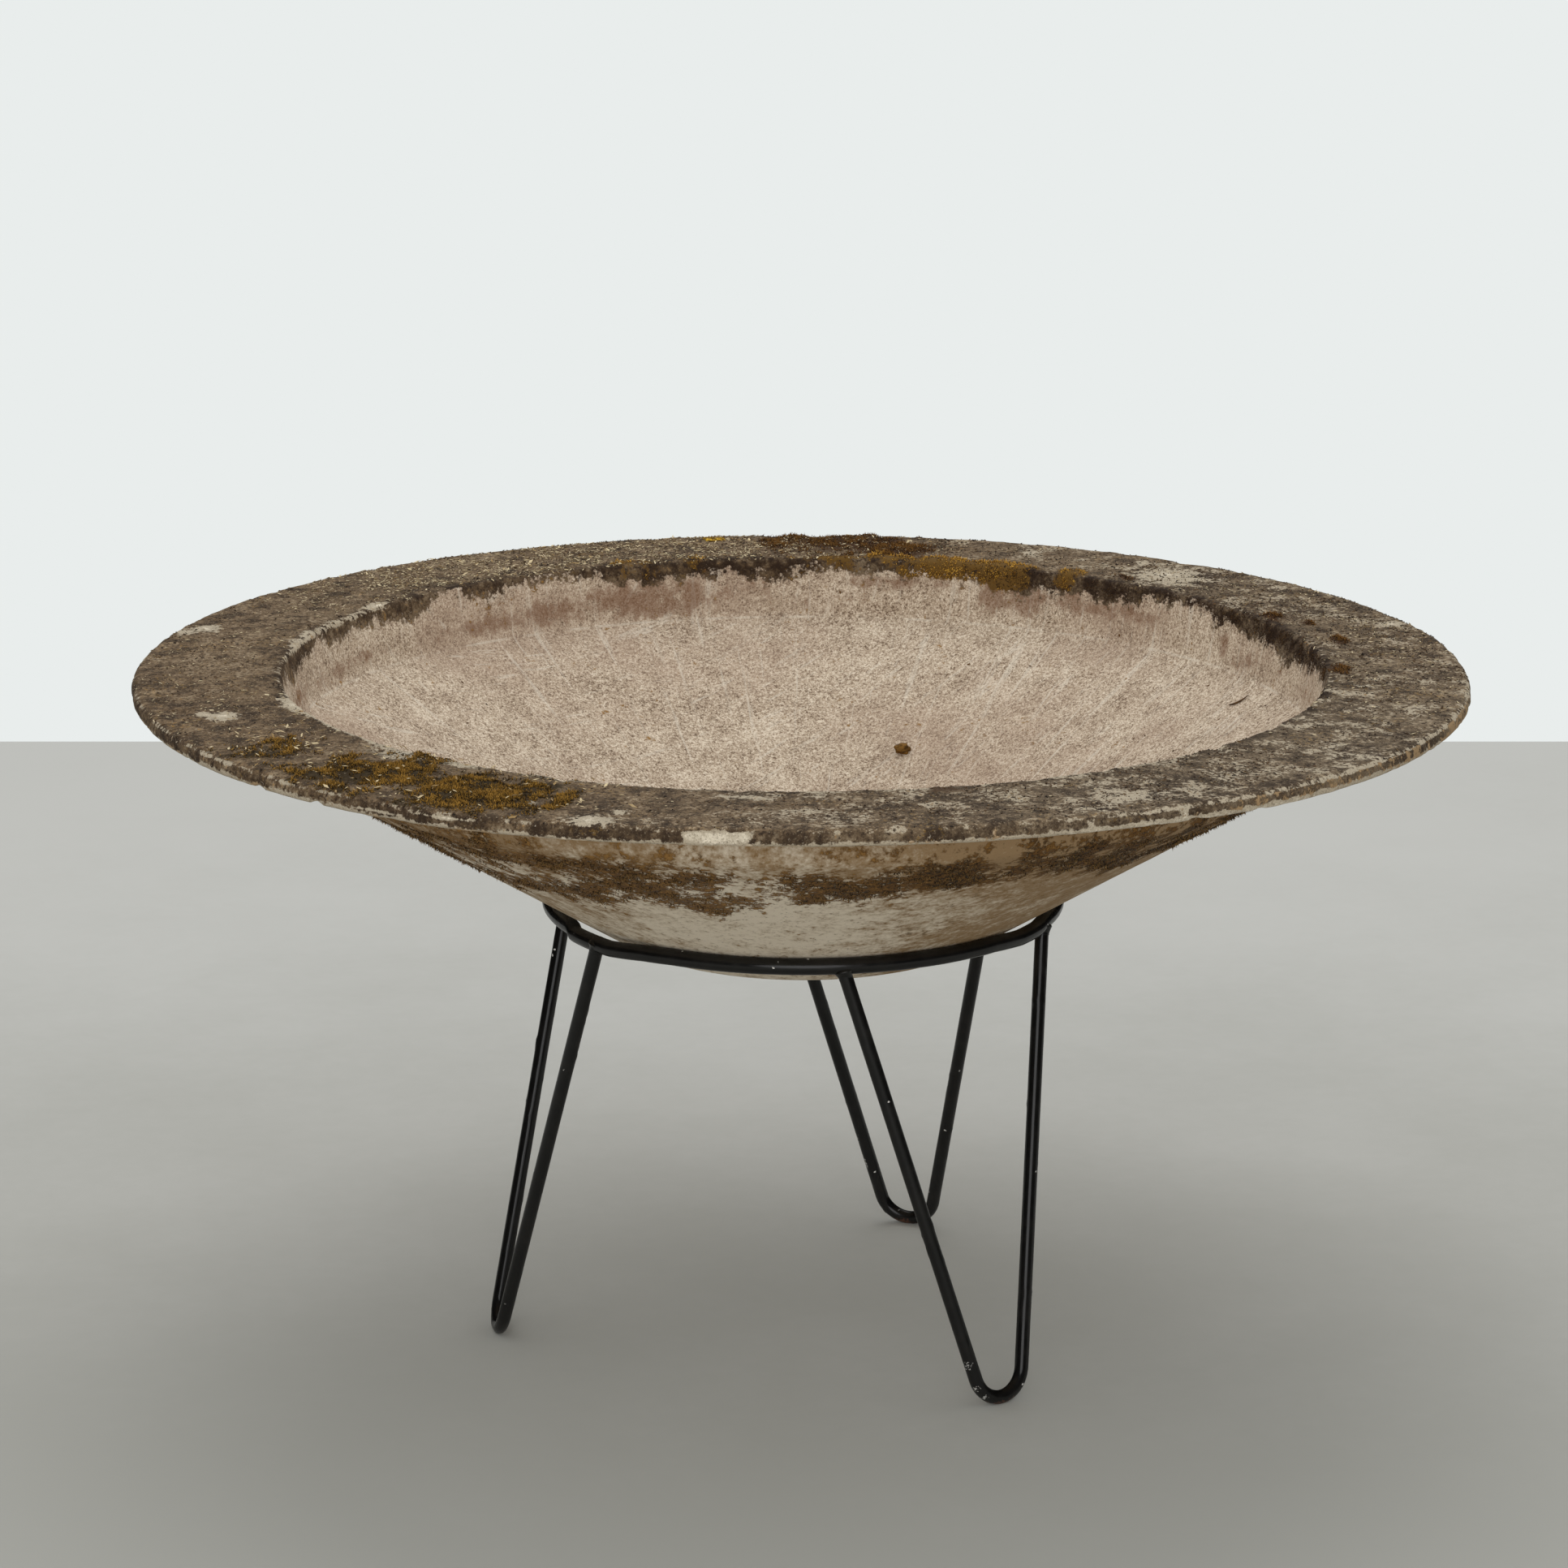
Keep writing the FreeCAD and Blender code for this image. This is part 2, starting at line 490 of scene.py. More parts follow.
@dataclass(frozen=True)
class WeatheredCement:
    """Finish of the bowl: bare fibre cement under stains, crust, lichen and moss.

    The bowl's values say where each growth lies, and noise gives each its ragged edge.
    """

    inside_dark: Colour = srgb(104, 84, 67)
    inside: Colour = srgb(178, 158, 137)
    inside_pale: Colour = srgb(220, 204, 184)
    inside_pink: Colour = srgb(172, 147, 128)
    outside: Colour = srgb(222, 208, 187)
    outside_brown: Colour = srgb(138, 107, 67)
    speck: Colour = srgb(84, 68, 52)
    fibre: Colour = srgb(214, 202, 186)
    stain: Colour = srgb(110, 72, 46)
    crust: Colour = srgb(110, 88, 64)
    crust_grey: Colour = srgb(108, 93, 75)
    crust_dark: Colour = srgb(52, 40, 30)
    # Darkest crust colour, laid on the steep wall below the lip and on the rim's outer face as painted shade.
    crust_shaded: Colour = srgb(42, 27, 17)
    crust_pale: Colour = srgb(156, 138, 114)
    crust_gold: Colour = srgb(132, 102, 56)
    bare: Colour = srgb(172, 158, 137)
    bare_white: Colour = srgb(214, 201, 180)
    growth: Colour = srgb(100, 68, 30)
    growth_pale: Colour = srgb(146, 108, 58)
    growth_dark: Colour = srgb(32, 21, 9)
    olive: Colour = srgb(50, 38, 16)
    russet: Colour = srgb(66, 42, 22)
    gold: Colour = srgb(102, 74, 30)
    crease_foot: tuple[float, float] = (0.1665, 0.1678)
    crease_head: tuple[float, float] = (0.1694, 0.1681)
    relief_depth: float = 1.2 * MM

    def material(self) -> bpy.types.Material:
        """Builds the node material."""
        make = Shader("weathered_fibre_cement")
        around = make.triple("around")
        grain = Grain(
            make=make,
            cloud=make.noise(7, 3, 0.6),
            blotch=make.noise(42, 4, 0.62),
            mottle=make.noise(120, 3, 0.6),
            fine=make.noise(280, 3, 0.66),
            sand=make.noise(470, 3, 0.7),
            grit=make.noise(850, 2, 0.7),
            drip=make.noise(170, 4, 0.64, make.stretch((1, 1, 0.2), at=around)),
        )
        warm = make.number("warm")
        outside, inside = self._outside(make, grain), self._inside(make, grain, around)
        colour = make.blend(make.number("inside"), outside, inside)

        stained = grain.mix(make.number("stain"), blotch=0.8, mottle=1.0, drip=0.5, sand=1.0)
        colour = make.lay(colour, self.stain, stained, 2.0, 2.4, 0.64)

        crusted = grain.mix(make.number("crust"), blotch=0.5, mottle=0.9, drip=0.4, fine=1.0)
        crusted = make.ease(crusted, 1.8, 2.0)
        colour = make.blend(crusted, colour, self._crust(make, grain, warm))

        scraped = make.number("bare")
        bare = make.ease(grain.mix(scraped, blotch=0.9, mottle=0.7, fine=1.0), 1.79, 1.95)
        white = make.lay(self.bare, self.bare_white, grain.mix(scraped, fine=0.8), 1.2, 1.5)
        colour = make.blend(bare, colour, make.lay(white, self.speck, grain.grit, 0.46, 0.34, 0.6))

        grown = grain.mix(make.number("growth"), blotch=0.9, mottle=1.4, fine=1.4)
        grown = make.ease(grown, 2.17, 2.5, 0.95)
        tuft = make.sum((grain.mix(blotch=0.4, mottle=0.5, fine=1.0, grit=0.5), 1), (warm, 0.2))
        hue = make.lay(self.growth_dark, self.growth, tuft, 1.2, 1.38)
        colour = make.blend(grown, colour, make.lay(hue, self.growth_pale, tuft, 1.4, 1.58))

        for kind, cushion in ((Kind.OLIVE, self.olive), (Kind.RUSSET, self.russet), (Kind.GOLD, self.gold)):
            covered = grain.mix(make.number(kind.value), mottle=0.8, fine=1.0)
            colour = make.lay(colour, cushion, covered, 1.36, 1.6, 0.9)

        relief = make.sum((grain.mix(grit=0.25, fine=0.3), 1), (crusted, 0.15), (grown, 0.4), (bare, -0.2))
        make.bump(relief, self.relief_depth)
        return make.finish(colour, make.ease(grain.fine, 0.2, 0.8, 0.98, 0.82), 0.2)

    def _inside(self, make: Shader, grain: Grain, around: Socket) -> Socket:
        """Beige inside: dark and pale grain, pink clouds, rubbed streaks, dark specks and a pale crease."""
        tone = grain.mix(fine=0.5, sand=1.0, grit=0.9, blotch=0.4, cloud=0.2)
        colour = make.lay(self.inside_dark, self.inside, tone, 1.24, 1.5)
        colour = make.lay(colour, self.inside_pale, tone, 1.48, 1.72)
        colour = make.lay(colour, self.inside_pink, grain.cloud, 0.56, 0.3, 0.4)
        rays = make.noise(1, 5, 0.7, make.stretch((95, 95, 11), at=around))
        strokes = make.noise(1, 5, 0.7, make.stretch((14, 150, 14), 30))
        for streak in (rays, strokes):
            colour = make.lay(colour, self.fibre, streak, 0.57, 0.67, 0.5)
        colour = make.lay(colour, self.speck, grain.mix(grit=1.0, mottle=0.4), 0.58, 0.48, 0.7)
        level = make.number("level")
        crease = make.times(make.ease(level, *self.crease_foot), make.ease(level, *self.crease_head))
        return make.blend(make.times(crease, make.ease(grain.blotch, 0.4, 0.62, 0.5)), colour, self.fibre)

    def _outside(self, make: Shader, grain: Grain) -> Socket:
        """Grey outside with brown clouds and specks."""
        clouds = grain.mix(cloud=0.5, blotch=0.6, mottle=0.5, fine=0.5)
        clouds = make.sum((clouds, 1), (make.number("rusty"), 0.34))
        colour = make.lay(self.outside, self.outside_brown, clouds, 1.0, 1.42, 0.9)
        return make.lay(colour, self.speck, grain.mix(grit=0.8, fine=0.8, mottle=0.5), 1.18, 1.34, 0.8)

    def _crust(self, make: Shader, grain: Grain, warm: Socket) -> Socket:
        """Dark crust: dark and pale clouds, golden clusters, grains of every tone, and painted shade on the
        steep wall below the lip and on the rim's outer face.
        """
        colour = make.blend(warm, self.crust_grey, self.crust)
        clouds = grain.mix(cloud=0.5, blotch=1.0, mottle=0.6)
        colour = make.lay(colour, self.crust_dark, clouds, 1.12, 0.84, 0.8)
        colour = make.lay(colour, self.crust_pale, make.sum((clouds, 0.7), (grain.fine, 1)), 1.24, 1.5, 0.7)
        clusters = make.times(make.ease(make.noise(26, 3, 0.6), 0.5, 0.66), make.ease(grain.fine, 0.54, 0.66))
        colour = make.blend(clusters, colour, self.crust_gold)
        colour = make.lay(colour, self.crust_dark, grain.fine, 0.47, 0.34, 0.85)
        colour = make.lay(colour, self.crust_dark, grain.sand, 0.44, 0.34, 0.8)
        colour = make.lay(colour, self.crust_pale, grain.mix(sand=0.7, grit=0.5), 0.66, 0.78, 0.95)
        # Painted shade: the crust darkens in patches on the wall below the lip and on the rim's outer face.
        shade_patches = make.ease(grain.mix(blotch=0.5, mottle=0.5), 0.58, 0.42, 0.95, 0.45)
        return make.blend(make.times(make.number("wall_shade"), shade_patches), colour, self.crust_shaded)


@dataclass(frozen=True)
class SoftGrowth:
    """Finish of moss: dark at the foot, partly the shoots' own darker base and partly painted shade between
    them, with two tones that mix from shoot to shoot.
    """

    name: str
    foot: Colour
    first: Colour
    second: Colour

    def material(self) -> bpy.types.Material:
        """Builds the node material."""
        make = Shader(self.name)
        tone = make.sum((make.number("tone"), 0.75), (make.noise(70, 3), 0.5))
        colour = make.lay(self.first, self.second, tone, 0.35, 0.9)
        # The foot colour at each shoot's base is partly the shoot's own darker base and partly painted shade
        # between the shoots.
        colour = make.lay(self.foot, colour, make.number("tip"), 0.0, 0.6)
        return make.finish(colour, make.ease(make.noise(400, 1), 0.2, 0.8, 0.95, 0.75), 0.2)


@dataclass(frozen=True)
class DryFlake:
    """Finish of straw, bark and lichen chips: a tone between two for each chip, with fine grain."""

    name: str
    first: Colour
    second: Colour
    low: float = 0.3
    high: float = 0.7
    relief_depth: float = 0.3 * MM

    def material(self) -> bpy.types.Material:
        """Builds the node material."""
        make = Shader(self.name)
        grain = make.noise(900, 2)
        tone = make.sum((make.number("tone"), 0.8), (grain, 0.3))
        colour = make.lay(self.first, self.second, tone, self.low, self.high)
        make.bump(grain, self.relief_depth)
        return make.finish(colour, make.ease(grain, 0.2, 0.8, 0.95, 0.7), 0.25)


@dataclass(frozen=True)
class BrushedBlack:
    """Finish of the stand: hand-brushed black paint with brush lines, chips and worn feet."""

    paint: Colour = srgb(12, 11, 10)
    paint_dusty: Colour = srgb(28, 25, 22)
    chip: Colour = srgb(206, 202, 196)
    rust: Colour = srgb(74, 46, 32)
    relief_depth: float = 0.5 * MM

    def material(self) -> bpy.types.Material:
        """Builds the node material."""
        make = Shader("brushed_black_paint")
        fine = make.noise(420, 3, 0.6)
        wave = make.noise(60, 3, 0.6)
        colour = make.lay(self.paint, self.paint_dusty, wave, 0.4, 0.75, 0.5)
        wear = make.number("wear")
        colour = make.lay(colour, self.rust, make.sum((wear, 1), (wave, 0.6), (fine, 0.6)), 1.15, 1.3)
        near, chance = make.cells(240)
        lucky = make.ease(make.sum((chance, 1), (wear, 0.1), (make.noise(14, 2), 0.5)), 1.14, 1.16)
        chips = make.times(make.ease(make.sum((near, 1), (fine, 1.1)), 0.76, 0.66), lucky)
        scuffed = make.sum((make.number("scuff"), 0.52), (fine, 0.9), (make.noise(900, 2, 0.6), 0.6))
        chips = make.sum((chips, 1), (make.ease(scuffed, 1.22, 1.34, 0.6), 1))
        colour = make.blend(chips, colour, self.chip)
        make.bump(make.sum((wave, 0.7), (fine, 0.18), (chips, -0.2)), self.relief_depth)
        make.gloss(0.6, make.ease(wave, 0.3, 0.7, 0.26, 0.14))
        return make.finish(colour, 0.6, 0.1)


@dataclass(frozen=True)
class Corner:
    """Corner of a turned outline, and how finely it and the run after it are divided.

    Attributes:
        zone: Stretch of the outline that starts here.
        radius: Distance from the axis.
        height: Height above the underside of the base.
        rounding: Radius of the corner's arc, or zero.
        arc_cells: Divisions of the arc.
        run_cells: Divisions of the straight run to the next corner's arc.
    """

    zone: Zone
    radius: float
    height: float
    rounding: float
    arc_cells: int
    run_cells: int


class TurnedOutline:
    """Closed outline in the half plane of radius and height, measured by its arc length."""

    steps_per_cell = 8
    nudge = 0.4 * MM

    def __init__(self, corners: Sequence[Corner]) -> None:
        """Rounds the corners and measures the outline.

        An arc point is the arc's centre plus its start and end arms, mixed by the sines of the two
        parts of the arc's angle over the sine of the whole angle.

        Args:
            corners: Corners in counter-clockwise order, radius to the right and height up.
        """
        sharp = np.array([(corner.radius, corner.height) for corner in corners])
        back = unit(np.roll(sharp, 1, axis=0) - sharp)
        ahead = unit(np.roll(sharp, -1, axis=0) - sharp)
        stretches = []
        for corner, here, to_back, to_ahead in zip(corners, sharp, back, ahead):
            if corner.rounding == 0:
                stretches.append(here[None])
                continue
            half = math.acos(float(to_back @ to_ahead)) / 2
            reach = corner.rounding / math.tan(half)
            centre = here + unit(to_back + to_ahead) * (corner.rounding / math.sin(half))
            sweep = math.pi - 2 * half
            part = np.linspace(0, 1, corner.arc_cells * self.steps_per_cell + 1)[:, None]
            start = here + to_back * reach - centre
            end = here + to_ahead * reach - centre
            mixed = np.sin((1 - part) * sweep) * start + np.sin(part * sweep) * end
            stretches.append(centre + mixed / math.sin(sweep))
        line = np.concatenate([*stretches, stretches[0][:1]])
        self.line = line
        self.lengths = np.concatenate([[0.0], np.cumsum(np.linalg.norm(np.diff(line, axis=0), axis=1))])
        self.total = float(self.lengths[-1])
        ends = np.cumsum([len(stretch) for stretch in stretches])
        first = self.lengths[ends - [len(stretch) for stretch in stretches]]
        last = self.lengths[ends - 1]
        middle = (first + last) / 2
        limits = np.append(middle, self.total + middle[0])
        self.spans = {corner.zone: (limits[i], limits[i + 1]) for i, corner in enumerate(corners)}
        following = np.append(first[1:], self.total)
        self.samples = np.concatenate([
            np.concatenate([
                np.linspace(first[i], last[i], corner.arc_cells, endpoint=False),
                np.linspace(last[i], following[i], corner.run_cells, endpoint=False),
            ])
            for i, corner in enumerate(corners)
        ])

    def at(self, along: Array) -> Array:
        """Radius and height at each arc length."""
        wrapped = along % self.total
        return np.stack([np.interp(wrapped, self.lengths, self.line[:, axis]) for axis in (0, 1)], axis=-1)

    def outward(self, along: Array) -> Array:
        """Unit normal, as radius and height, that points out of the wall: the tangent turned clockwise."""
        tangent = unit(self.at(along + self.nudge) - self.at(along - self.nudge))
        return np.stack([tangent[..., 1], -tangent[..., 0]], axis=-1)

    def within(self, along: Array, zone: Zone) -> Array:
        """Whether each arc length lies in a zone."""
        start, end = self.spans[zone]
        return (along >= start) & (along < end)


@dataclass
class Ground:
    """Places on the bowl's plain skin.

    Attributes:
        outline: The bowl's outline.
        along: Arc length of each place along the outline.
        angle: Angle about the axis, in degrees.
        radius: Distance from the axis.
        height: Height above the underside of the base.
        lean: Outward normal as radius and height.
        seat: Height of that underside above the floor.
    """

    outline: TurnedOutline
    along: Array
    angle: Array
    radius: Array
    height: Array
    lean: Array
    seat: float

    def spread(self, radius: Array, height: Array) -> Array:
        """Rows of x, y and z for radii and heights at these places' angles."""
        turn = np.radians(self.angle)
        return np.stack([radius * np.cos(turn), radius * np.sin(turn), height], axis=-1)

    def points(self, lift: Array | float = 0.0) -> Array:
        """Places moved off the skin by a lift along the normal."""
        out, up = self.lean.T * lift
        return self.spread(self.radius + out, self.height + self.seat + up)

    def normals(self) -> Array:
        """Outward normals."""
        return self.spread(*self.lean.T)

    def around(self, radius: float) -> Array:
        """Places moved out to one radius, so that a pattern can run round the bowl or straight down it."""
        return self.spread(np.full_like(self.radius, radius), self.height)

    def on(self, *zones: Zone) -> Array:
        """Whether each place lies in one of some zones."""
        return np.any([self.outline.within(self.along, zone) for zone in zones], axis=0)

    def ridge(self, zone: Zone, width: float) -> Array:
        """Strength of a line along the corner where a zone starts, fading over a width to each side."""
        return np.clip(RIDGE_CREST - np.abs(self.along - self.outline.spans[zone][0]) / width, 0, 1)

    def pick(self, chosen: Array) -> Ground:
        """The places that a row of truth values or numbers chooses."""
        kept = (getattr(self, key)[chosen] for key in ("along", "angle", "radius", "height", "lean"))
        return Ground(self.outline, *kept, self.seat)


@dataclass(frozen=True)
class Patch:
    """Oval patch on the bowl: its middle and its half sizes round the axis and across.

    Attributes:
        angle: Angle of the middle, in degrees.
        across: Radius of the middle, or its height on a steep face.
        half_angle: Half length round the axis, in degrees.
        half_across: Half size the other way.
        strength: Value at the middle. At a half size from the middle there is half of it.
    """

    angle: float
    across: float
    half_angle: float
    half_across: float
    strength: float = 1.0

    def cover(self, angle: Array, across: Array) -> Array:
        """Value at each place: the strength, times 1 less half the distance in half sizes."""
        turn = (angle - self.angle + FULL_TURN / 2) % FULL_TURN - FULL_TURN / 2
        away = np.hypot(turn / self.half_angle, (across - self.across) / self.half_across)
        return self.strength * np.clip(1 - away / 2, 0, 1)


def patches(*rows: tuple[float, ...]) -> tuple[Patch, ...]:
    """Patches from rows of their numbers."""
    return tuple(Patch(*row) for row in rows)


def cover_all(places: Sequence[Patch], angle: Array, across: Array) -> Array:
    """Highest value of any of the patches at each place."""
    return np.max([patch.cover(angle, across) for patch in places], axis=0)


@dataclass(frozen=True)
class Weathering:
    """Where stains, crust, bare spots and growth lie on the bowl."""

    olive_moss: tuple[Patch, ...] = patches(
        (208, 0.45, 5, 0.036, 0.8), (215, 0.448, 5, 0.038, 0.9), (222, 0.450, 7, 0.048),
        (230, 0.447, 6, 0.045), (236, 0.448, 4.5, 0.042), (240, 0.452, 1.5, 0.03),
    )
    russet_moss: tuple[Patch, ...] = patches(
        (77, 0.45, 6, 0.045), (71, 0.43, 5, 0.028), (83, 0.47, 2.5, 0.025, 0.8), (42, 0.412, 1.5, 0.007),
        (3, 0.42, 1.6, 0.007), (11, 0.418, 1.2, 0.007), (15, 0.405, 2.2, 0.01),
        (349, 0.405, 3, 0.012, 0.85), (276, 0.402, 2, 0.01, 0.75),
    )
    golden_moss: tuple[Patch, ...] = patches(
        (62, 0.399, 8, 0.01, 1.2), (70, 0.401, 5, 0.008, 1.15), (57, 0.392, 3.2, 0.02, 1.25),
        (48.5, 0.4, 1.8, 0.014, 1.1), (103, 0.402, 3, 0.011, 0.8), (94, 0.403, 2, 0.011, 0.8),
        (78, 0.396, 5, 0.005, 0.8),
    )
    bare_spots: tuple[Patch, ...] = patches(
        (193.6, 0.452, 1.7, 0.012), (192.4, 0.463, 1.0, 0.006), (217.5, 0.403, 4, 0.012),
        (224, 0.399, 3, 0.006), (192, 0.397, 6, 0.008, 0.9), (199, 0.394, 6, 0.005, 0.9),
        (238, 0.46, 0.9, 0.007), (244.5, 0.487, 2.2, 0.017), (246, 0.464, 1.6, 0.007, 0.9),
        (256, 0.41, 6, 0.02, 0.65), (263, 0.405, 4, 0.02, 0.6), (269, 0.475, 1.3, 0.03, 0.6),
        (290, 0.465, 6, 0.02, 0.7), (286, 0.482, 3, 0.015, 0.7), (316, 0.49, 2, 0.012, 0.8),
        (317, 0.455, 5, 0.018, 0.62), (342, 0.42, 1.6, 0.012, 0.9), (344, 0.47, 2.5, 0.03, 0.6),
        (9, 0.482, 1.3, 0.01, 0.9), (28, 0.475, 2, 0.015, 0.65), (39, 0.445, 6, 0.04, 0.9),
        (45, 0.47, 3, 0.02, 0.7), (51, 0.46, 0.9, 0.035, 0.65), (58, 0.462, 3, 0.02, 0.6),
        (157, 0.478, 1.7, 0.013), (159, 0.487, 1.7, 0.01, 0.85), (140, 0.397, 2.2, 0.006),
        (157, 0.397, 8, 0.006, 0.8), (178, 0.42, 1.0, 0.012, 0.65), (85, 0.455, 1.3, 0.012, 0.75),
    )
    edge_scars: tuple[Patch, ...] = patches(
        (284, 0.209, 0.3, 0.007), (292.5, 0.209, 0.35, 0.007), (281, 0.21, 0.25, 0.005),
        (233, 0.211, 3, 0.0014), (226, 0.208, 2.5, 0.0014),
    )
    spall: Patch = Patch(254.9, 0.209, 2.5, 0.012)
    drips: tuple[Patch, ...] = patches(
        (95, 0.189, 1.3, 0.014), (104, 0.189, 1.5, 0.015), (112, 0.186, 1.0, 0.014),
        (47, 0.195, 2, 0.012), (53, 0.192, 3, 0.012), (58, 0.192, 2, 0.013), (22, 0.186, 0.7, 0.01),
        (100, 0.179, 8, 0.008, 0.8), (17, 0.179, 3, 0.012, 0.7), (103, 0.188, 11, 0.014, 0.85),
        (114, 0.184, 6, 0.012, 0.85), (90, 0.19, 4, 0.01, 0.75), (40, 0.192, 12, 0.01, 0.7),
        (70, 0.197, 7, 0.007, 0.8),
    )
    clearings: tuple[Patch, ...] = patches(
        (225, 0.335, 1.6, 0.009), (254, 0.335, 4, 0.012), (257, 0.38, 7, 0.012, 0.8),
        (268, 0.356, 1.6, 0.01, 0.8), (20, 0.36, 6, 0.02), (120, 0.35, 7, 0.02),
    )
    lip_wear: Stations = (
        (0, 0.1), (60, 0.1), (130, 0.2), (152, 0.64), (165, 0.62), (180, 0.45), (192, 0.8), (202, 0.8),
        (225, 0.66), (245, 0.66), (270, 0.62), (300, 0.6), (320, 0.3), (345, 0.1),
    )
    wall_crust_foot: Stations = (
        (0, 0.202), (5, 0.196), (8, 0.195), (12, 0.2), (18, 0.199), (25, 0.202), (32, 0.204), (40, 0.201),
        (46, 0.196), (52, 0.198), (56, 0.197), (62, 0.203), (68, 0.206), (72, 0.203), (78, 0.208),
        (84, 0.202), (91, 0.201), (96, 0.203), (104, 0.201), (110, 0.205), (116, 0.209), (128, 0.21),
        (131, 0.209), (133, 0.201), (138, 0.201), (141, 0.208), (147, 0.207), (149, 0.2), (151, 0.201),
        (154, 0.207), (160, 0.201), (168, 0.2), (175, 0.203), (185, 0.206), (200, 0.209), (240, 0.21),
        (300, 0.21), (330, 0.208), (345, 0.205),
    )
    stain_strength: Stations = (
        (0, 0.3), (40, 0.2), (70, 0.15), (90, 0.36), (110, 0.55), (135, 0.48), (158, 0.48), (175, 0.42),
        (220, 0.3), (300, 0.3),
    )
    growth_foot: Stations = (
        (20, 0.31), (60, 0.33), (100, 0.3), (140, 0.32), (170, 0.3), (190, 0.285), (205, 0.275),
        (212, 0.27), (218, 0.275), (225, 0.283), (232, 0.287), (238, 0.298), (245, 0.303), (250, 0.29),
        (254, 0.306), (260, 0.318), (267, 0.322), (274, 0.338), (282, 0.345), (296, 0.345), (301, 0.328),
        (306, 0.325), (312, 0.335), (330, 0.33),
    )
    growth_head: Stations = (
        (0, 0.4), (195, 0.396), (215, 0.386), (238, 0.374), (248, 0.366), (256, 0.36), (264, 0.362),
        (272, 0.37), (285, 0.378), (300, 0.388), (330, 0.4),
    )
    rim_wear: Stations = (
        (0, 0.4), (90, 0.3), (150, 0.45), (175, 0.55), (200, 0.6), (215, 0.55), (240, 0.5), (262, 0.5),
        (285, 0.6), (310, 0.75), (340, 0.7),
    )
    foot_wear: Stations = (
        (0, 0.3), (150, 0.4), (195, 0.6), (210, 0.75), (240, 0.6), (272, 0.75), (285, 0.9), (305, 0.9),
        (330, 0.65), (350, 0.4),
    )
    edge_pale: Stations = ((0, 0.3), (180, 0.35), (205, 0.6), (305, 0.6), (330, 0.4))
    edge_crust: Stations = (
        (0, 0.7), (180, 0.78), (235, 0.95), (282, 0.92), (298, 0.58), (340, 0.54), (350, 0.62),
    )
    scrapes: Stations = (
        (0, 0.36), (30, 0.4), (60, 0.36), (90, 0.2), (150, 0.26), (200, 0.16), (240, 0.3), (262, 0.41),
        (285, 0.42), (320, 0.44), (345, 0.42),
    )
    warmth: Stations = (
        (0, 0.5), (40, 0.5), (75, 0.9), (110, 0.85), (150, 0.9), (200, 1.0), (245, 0.85), (268, 0.65),
        (285, 0.35), (320, 0.25), (345, 0.4),
    )
    # Strength of the painted shade on the wall below the lip, by angle.
    wall_shading: Stations = ((0, 1.0), (70, 0.9), (120, 0.75), (165, 0.6), (200, 0.3), (300, 0.3), (340, 0.9))
    sag: Stations = (
        (0, 1.5), (30, 1.2), (60, 1.2), (100, 0.8), (140, 0), (165, 0.5), (185, 1.8), (205, 3.4),
        (232, 3.8), (245, 1.6), (256, 0), (285, 0), (302, 2.0), (320, 2.4), (345, 2.6),
    )
    bulge: Stations = ((0, 0), (120, 0), (150, 2.0), (172, 3.2), (192, 2.0), (225, 0))
    growth_rise: Stations = (
        (0, 0.05), (200, 0.03), (240, 0.08), (252, 0.13), (262, 0.13), (272, 0.08), (285, 0.11),
        (330, 0.12),
    )
    rust: Stations = (
        (0, 0.6), (180, 0.6), (225, 0.4), (245, 0.1), (262, 0.15), (275, 0.45), (288, 0.85), (320, 1.0),
    )
    stain_low: float = 0.171
    stain_high: float = 0.189
    edge_pale_height: float = 0.2075
    edge_pale_reach: float = 5 * MM
    moss_foot: float = 0.203
    moss_reach: float = 14 * MM
    droop_foot: float = 0.189
    droop_radius: float = 0.39
    droop_reach: float = 0.11
    rust_radius: float = 0.32
    rust_reach: float = 50 * MM
    growth_reach: float = 70 * MM
    growth_cap: float = 0.62
    crust_reach: float = 26 * MM
    stain_reach: float = 10 * MM
    lip_width: float = 6 * MM
    rim_width: float = 2.2 * MM
    foot_width: float = 5 * MM
    # Width over which the painted shade fades across the lip's corner.
    shade_width: float = 8 * MM
    wave_depth: float = 1.2 * MM
    chip_depth: float = 9 * MM
    spall_depth: float = 1.3 * MM
    growth_swell: float = 2.4 * MM
    calm_reach: float = 60 * MM

    def jitter(self, ground: Ground) -> Array:
        """Noise about zero that shifts every boundary to and fro."""
        places = ground.points()
        return fractal(places, 24, 3, 11) - 0.5 + 0.7 * (fractal(places, 95, 2, 23) - 0.5)

    def strengths(self, ground: Ground) -> dict[str, Array]:
        """Strength of every kind at each place, by the kind's name."""
        shift = self.jitter(ground)
        return {kind.value: self.strength(kind, ground, shift) for kind in Kind}

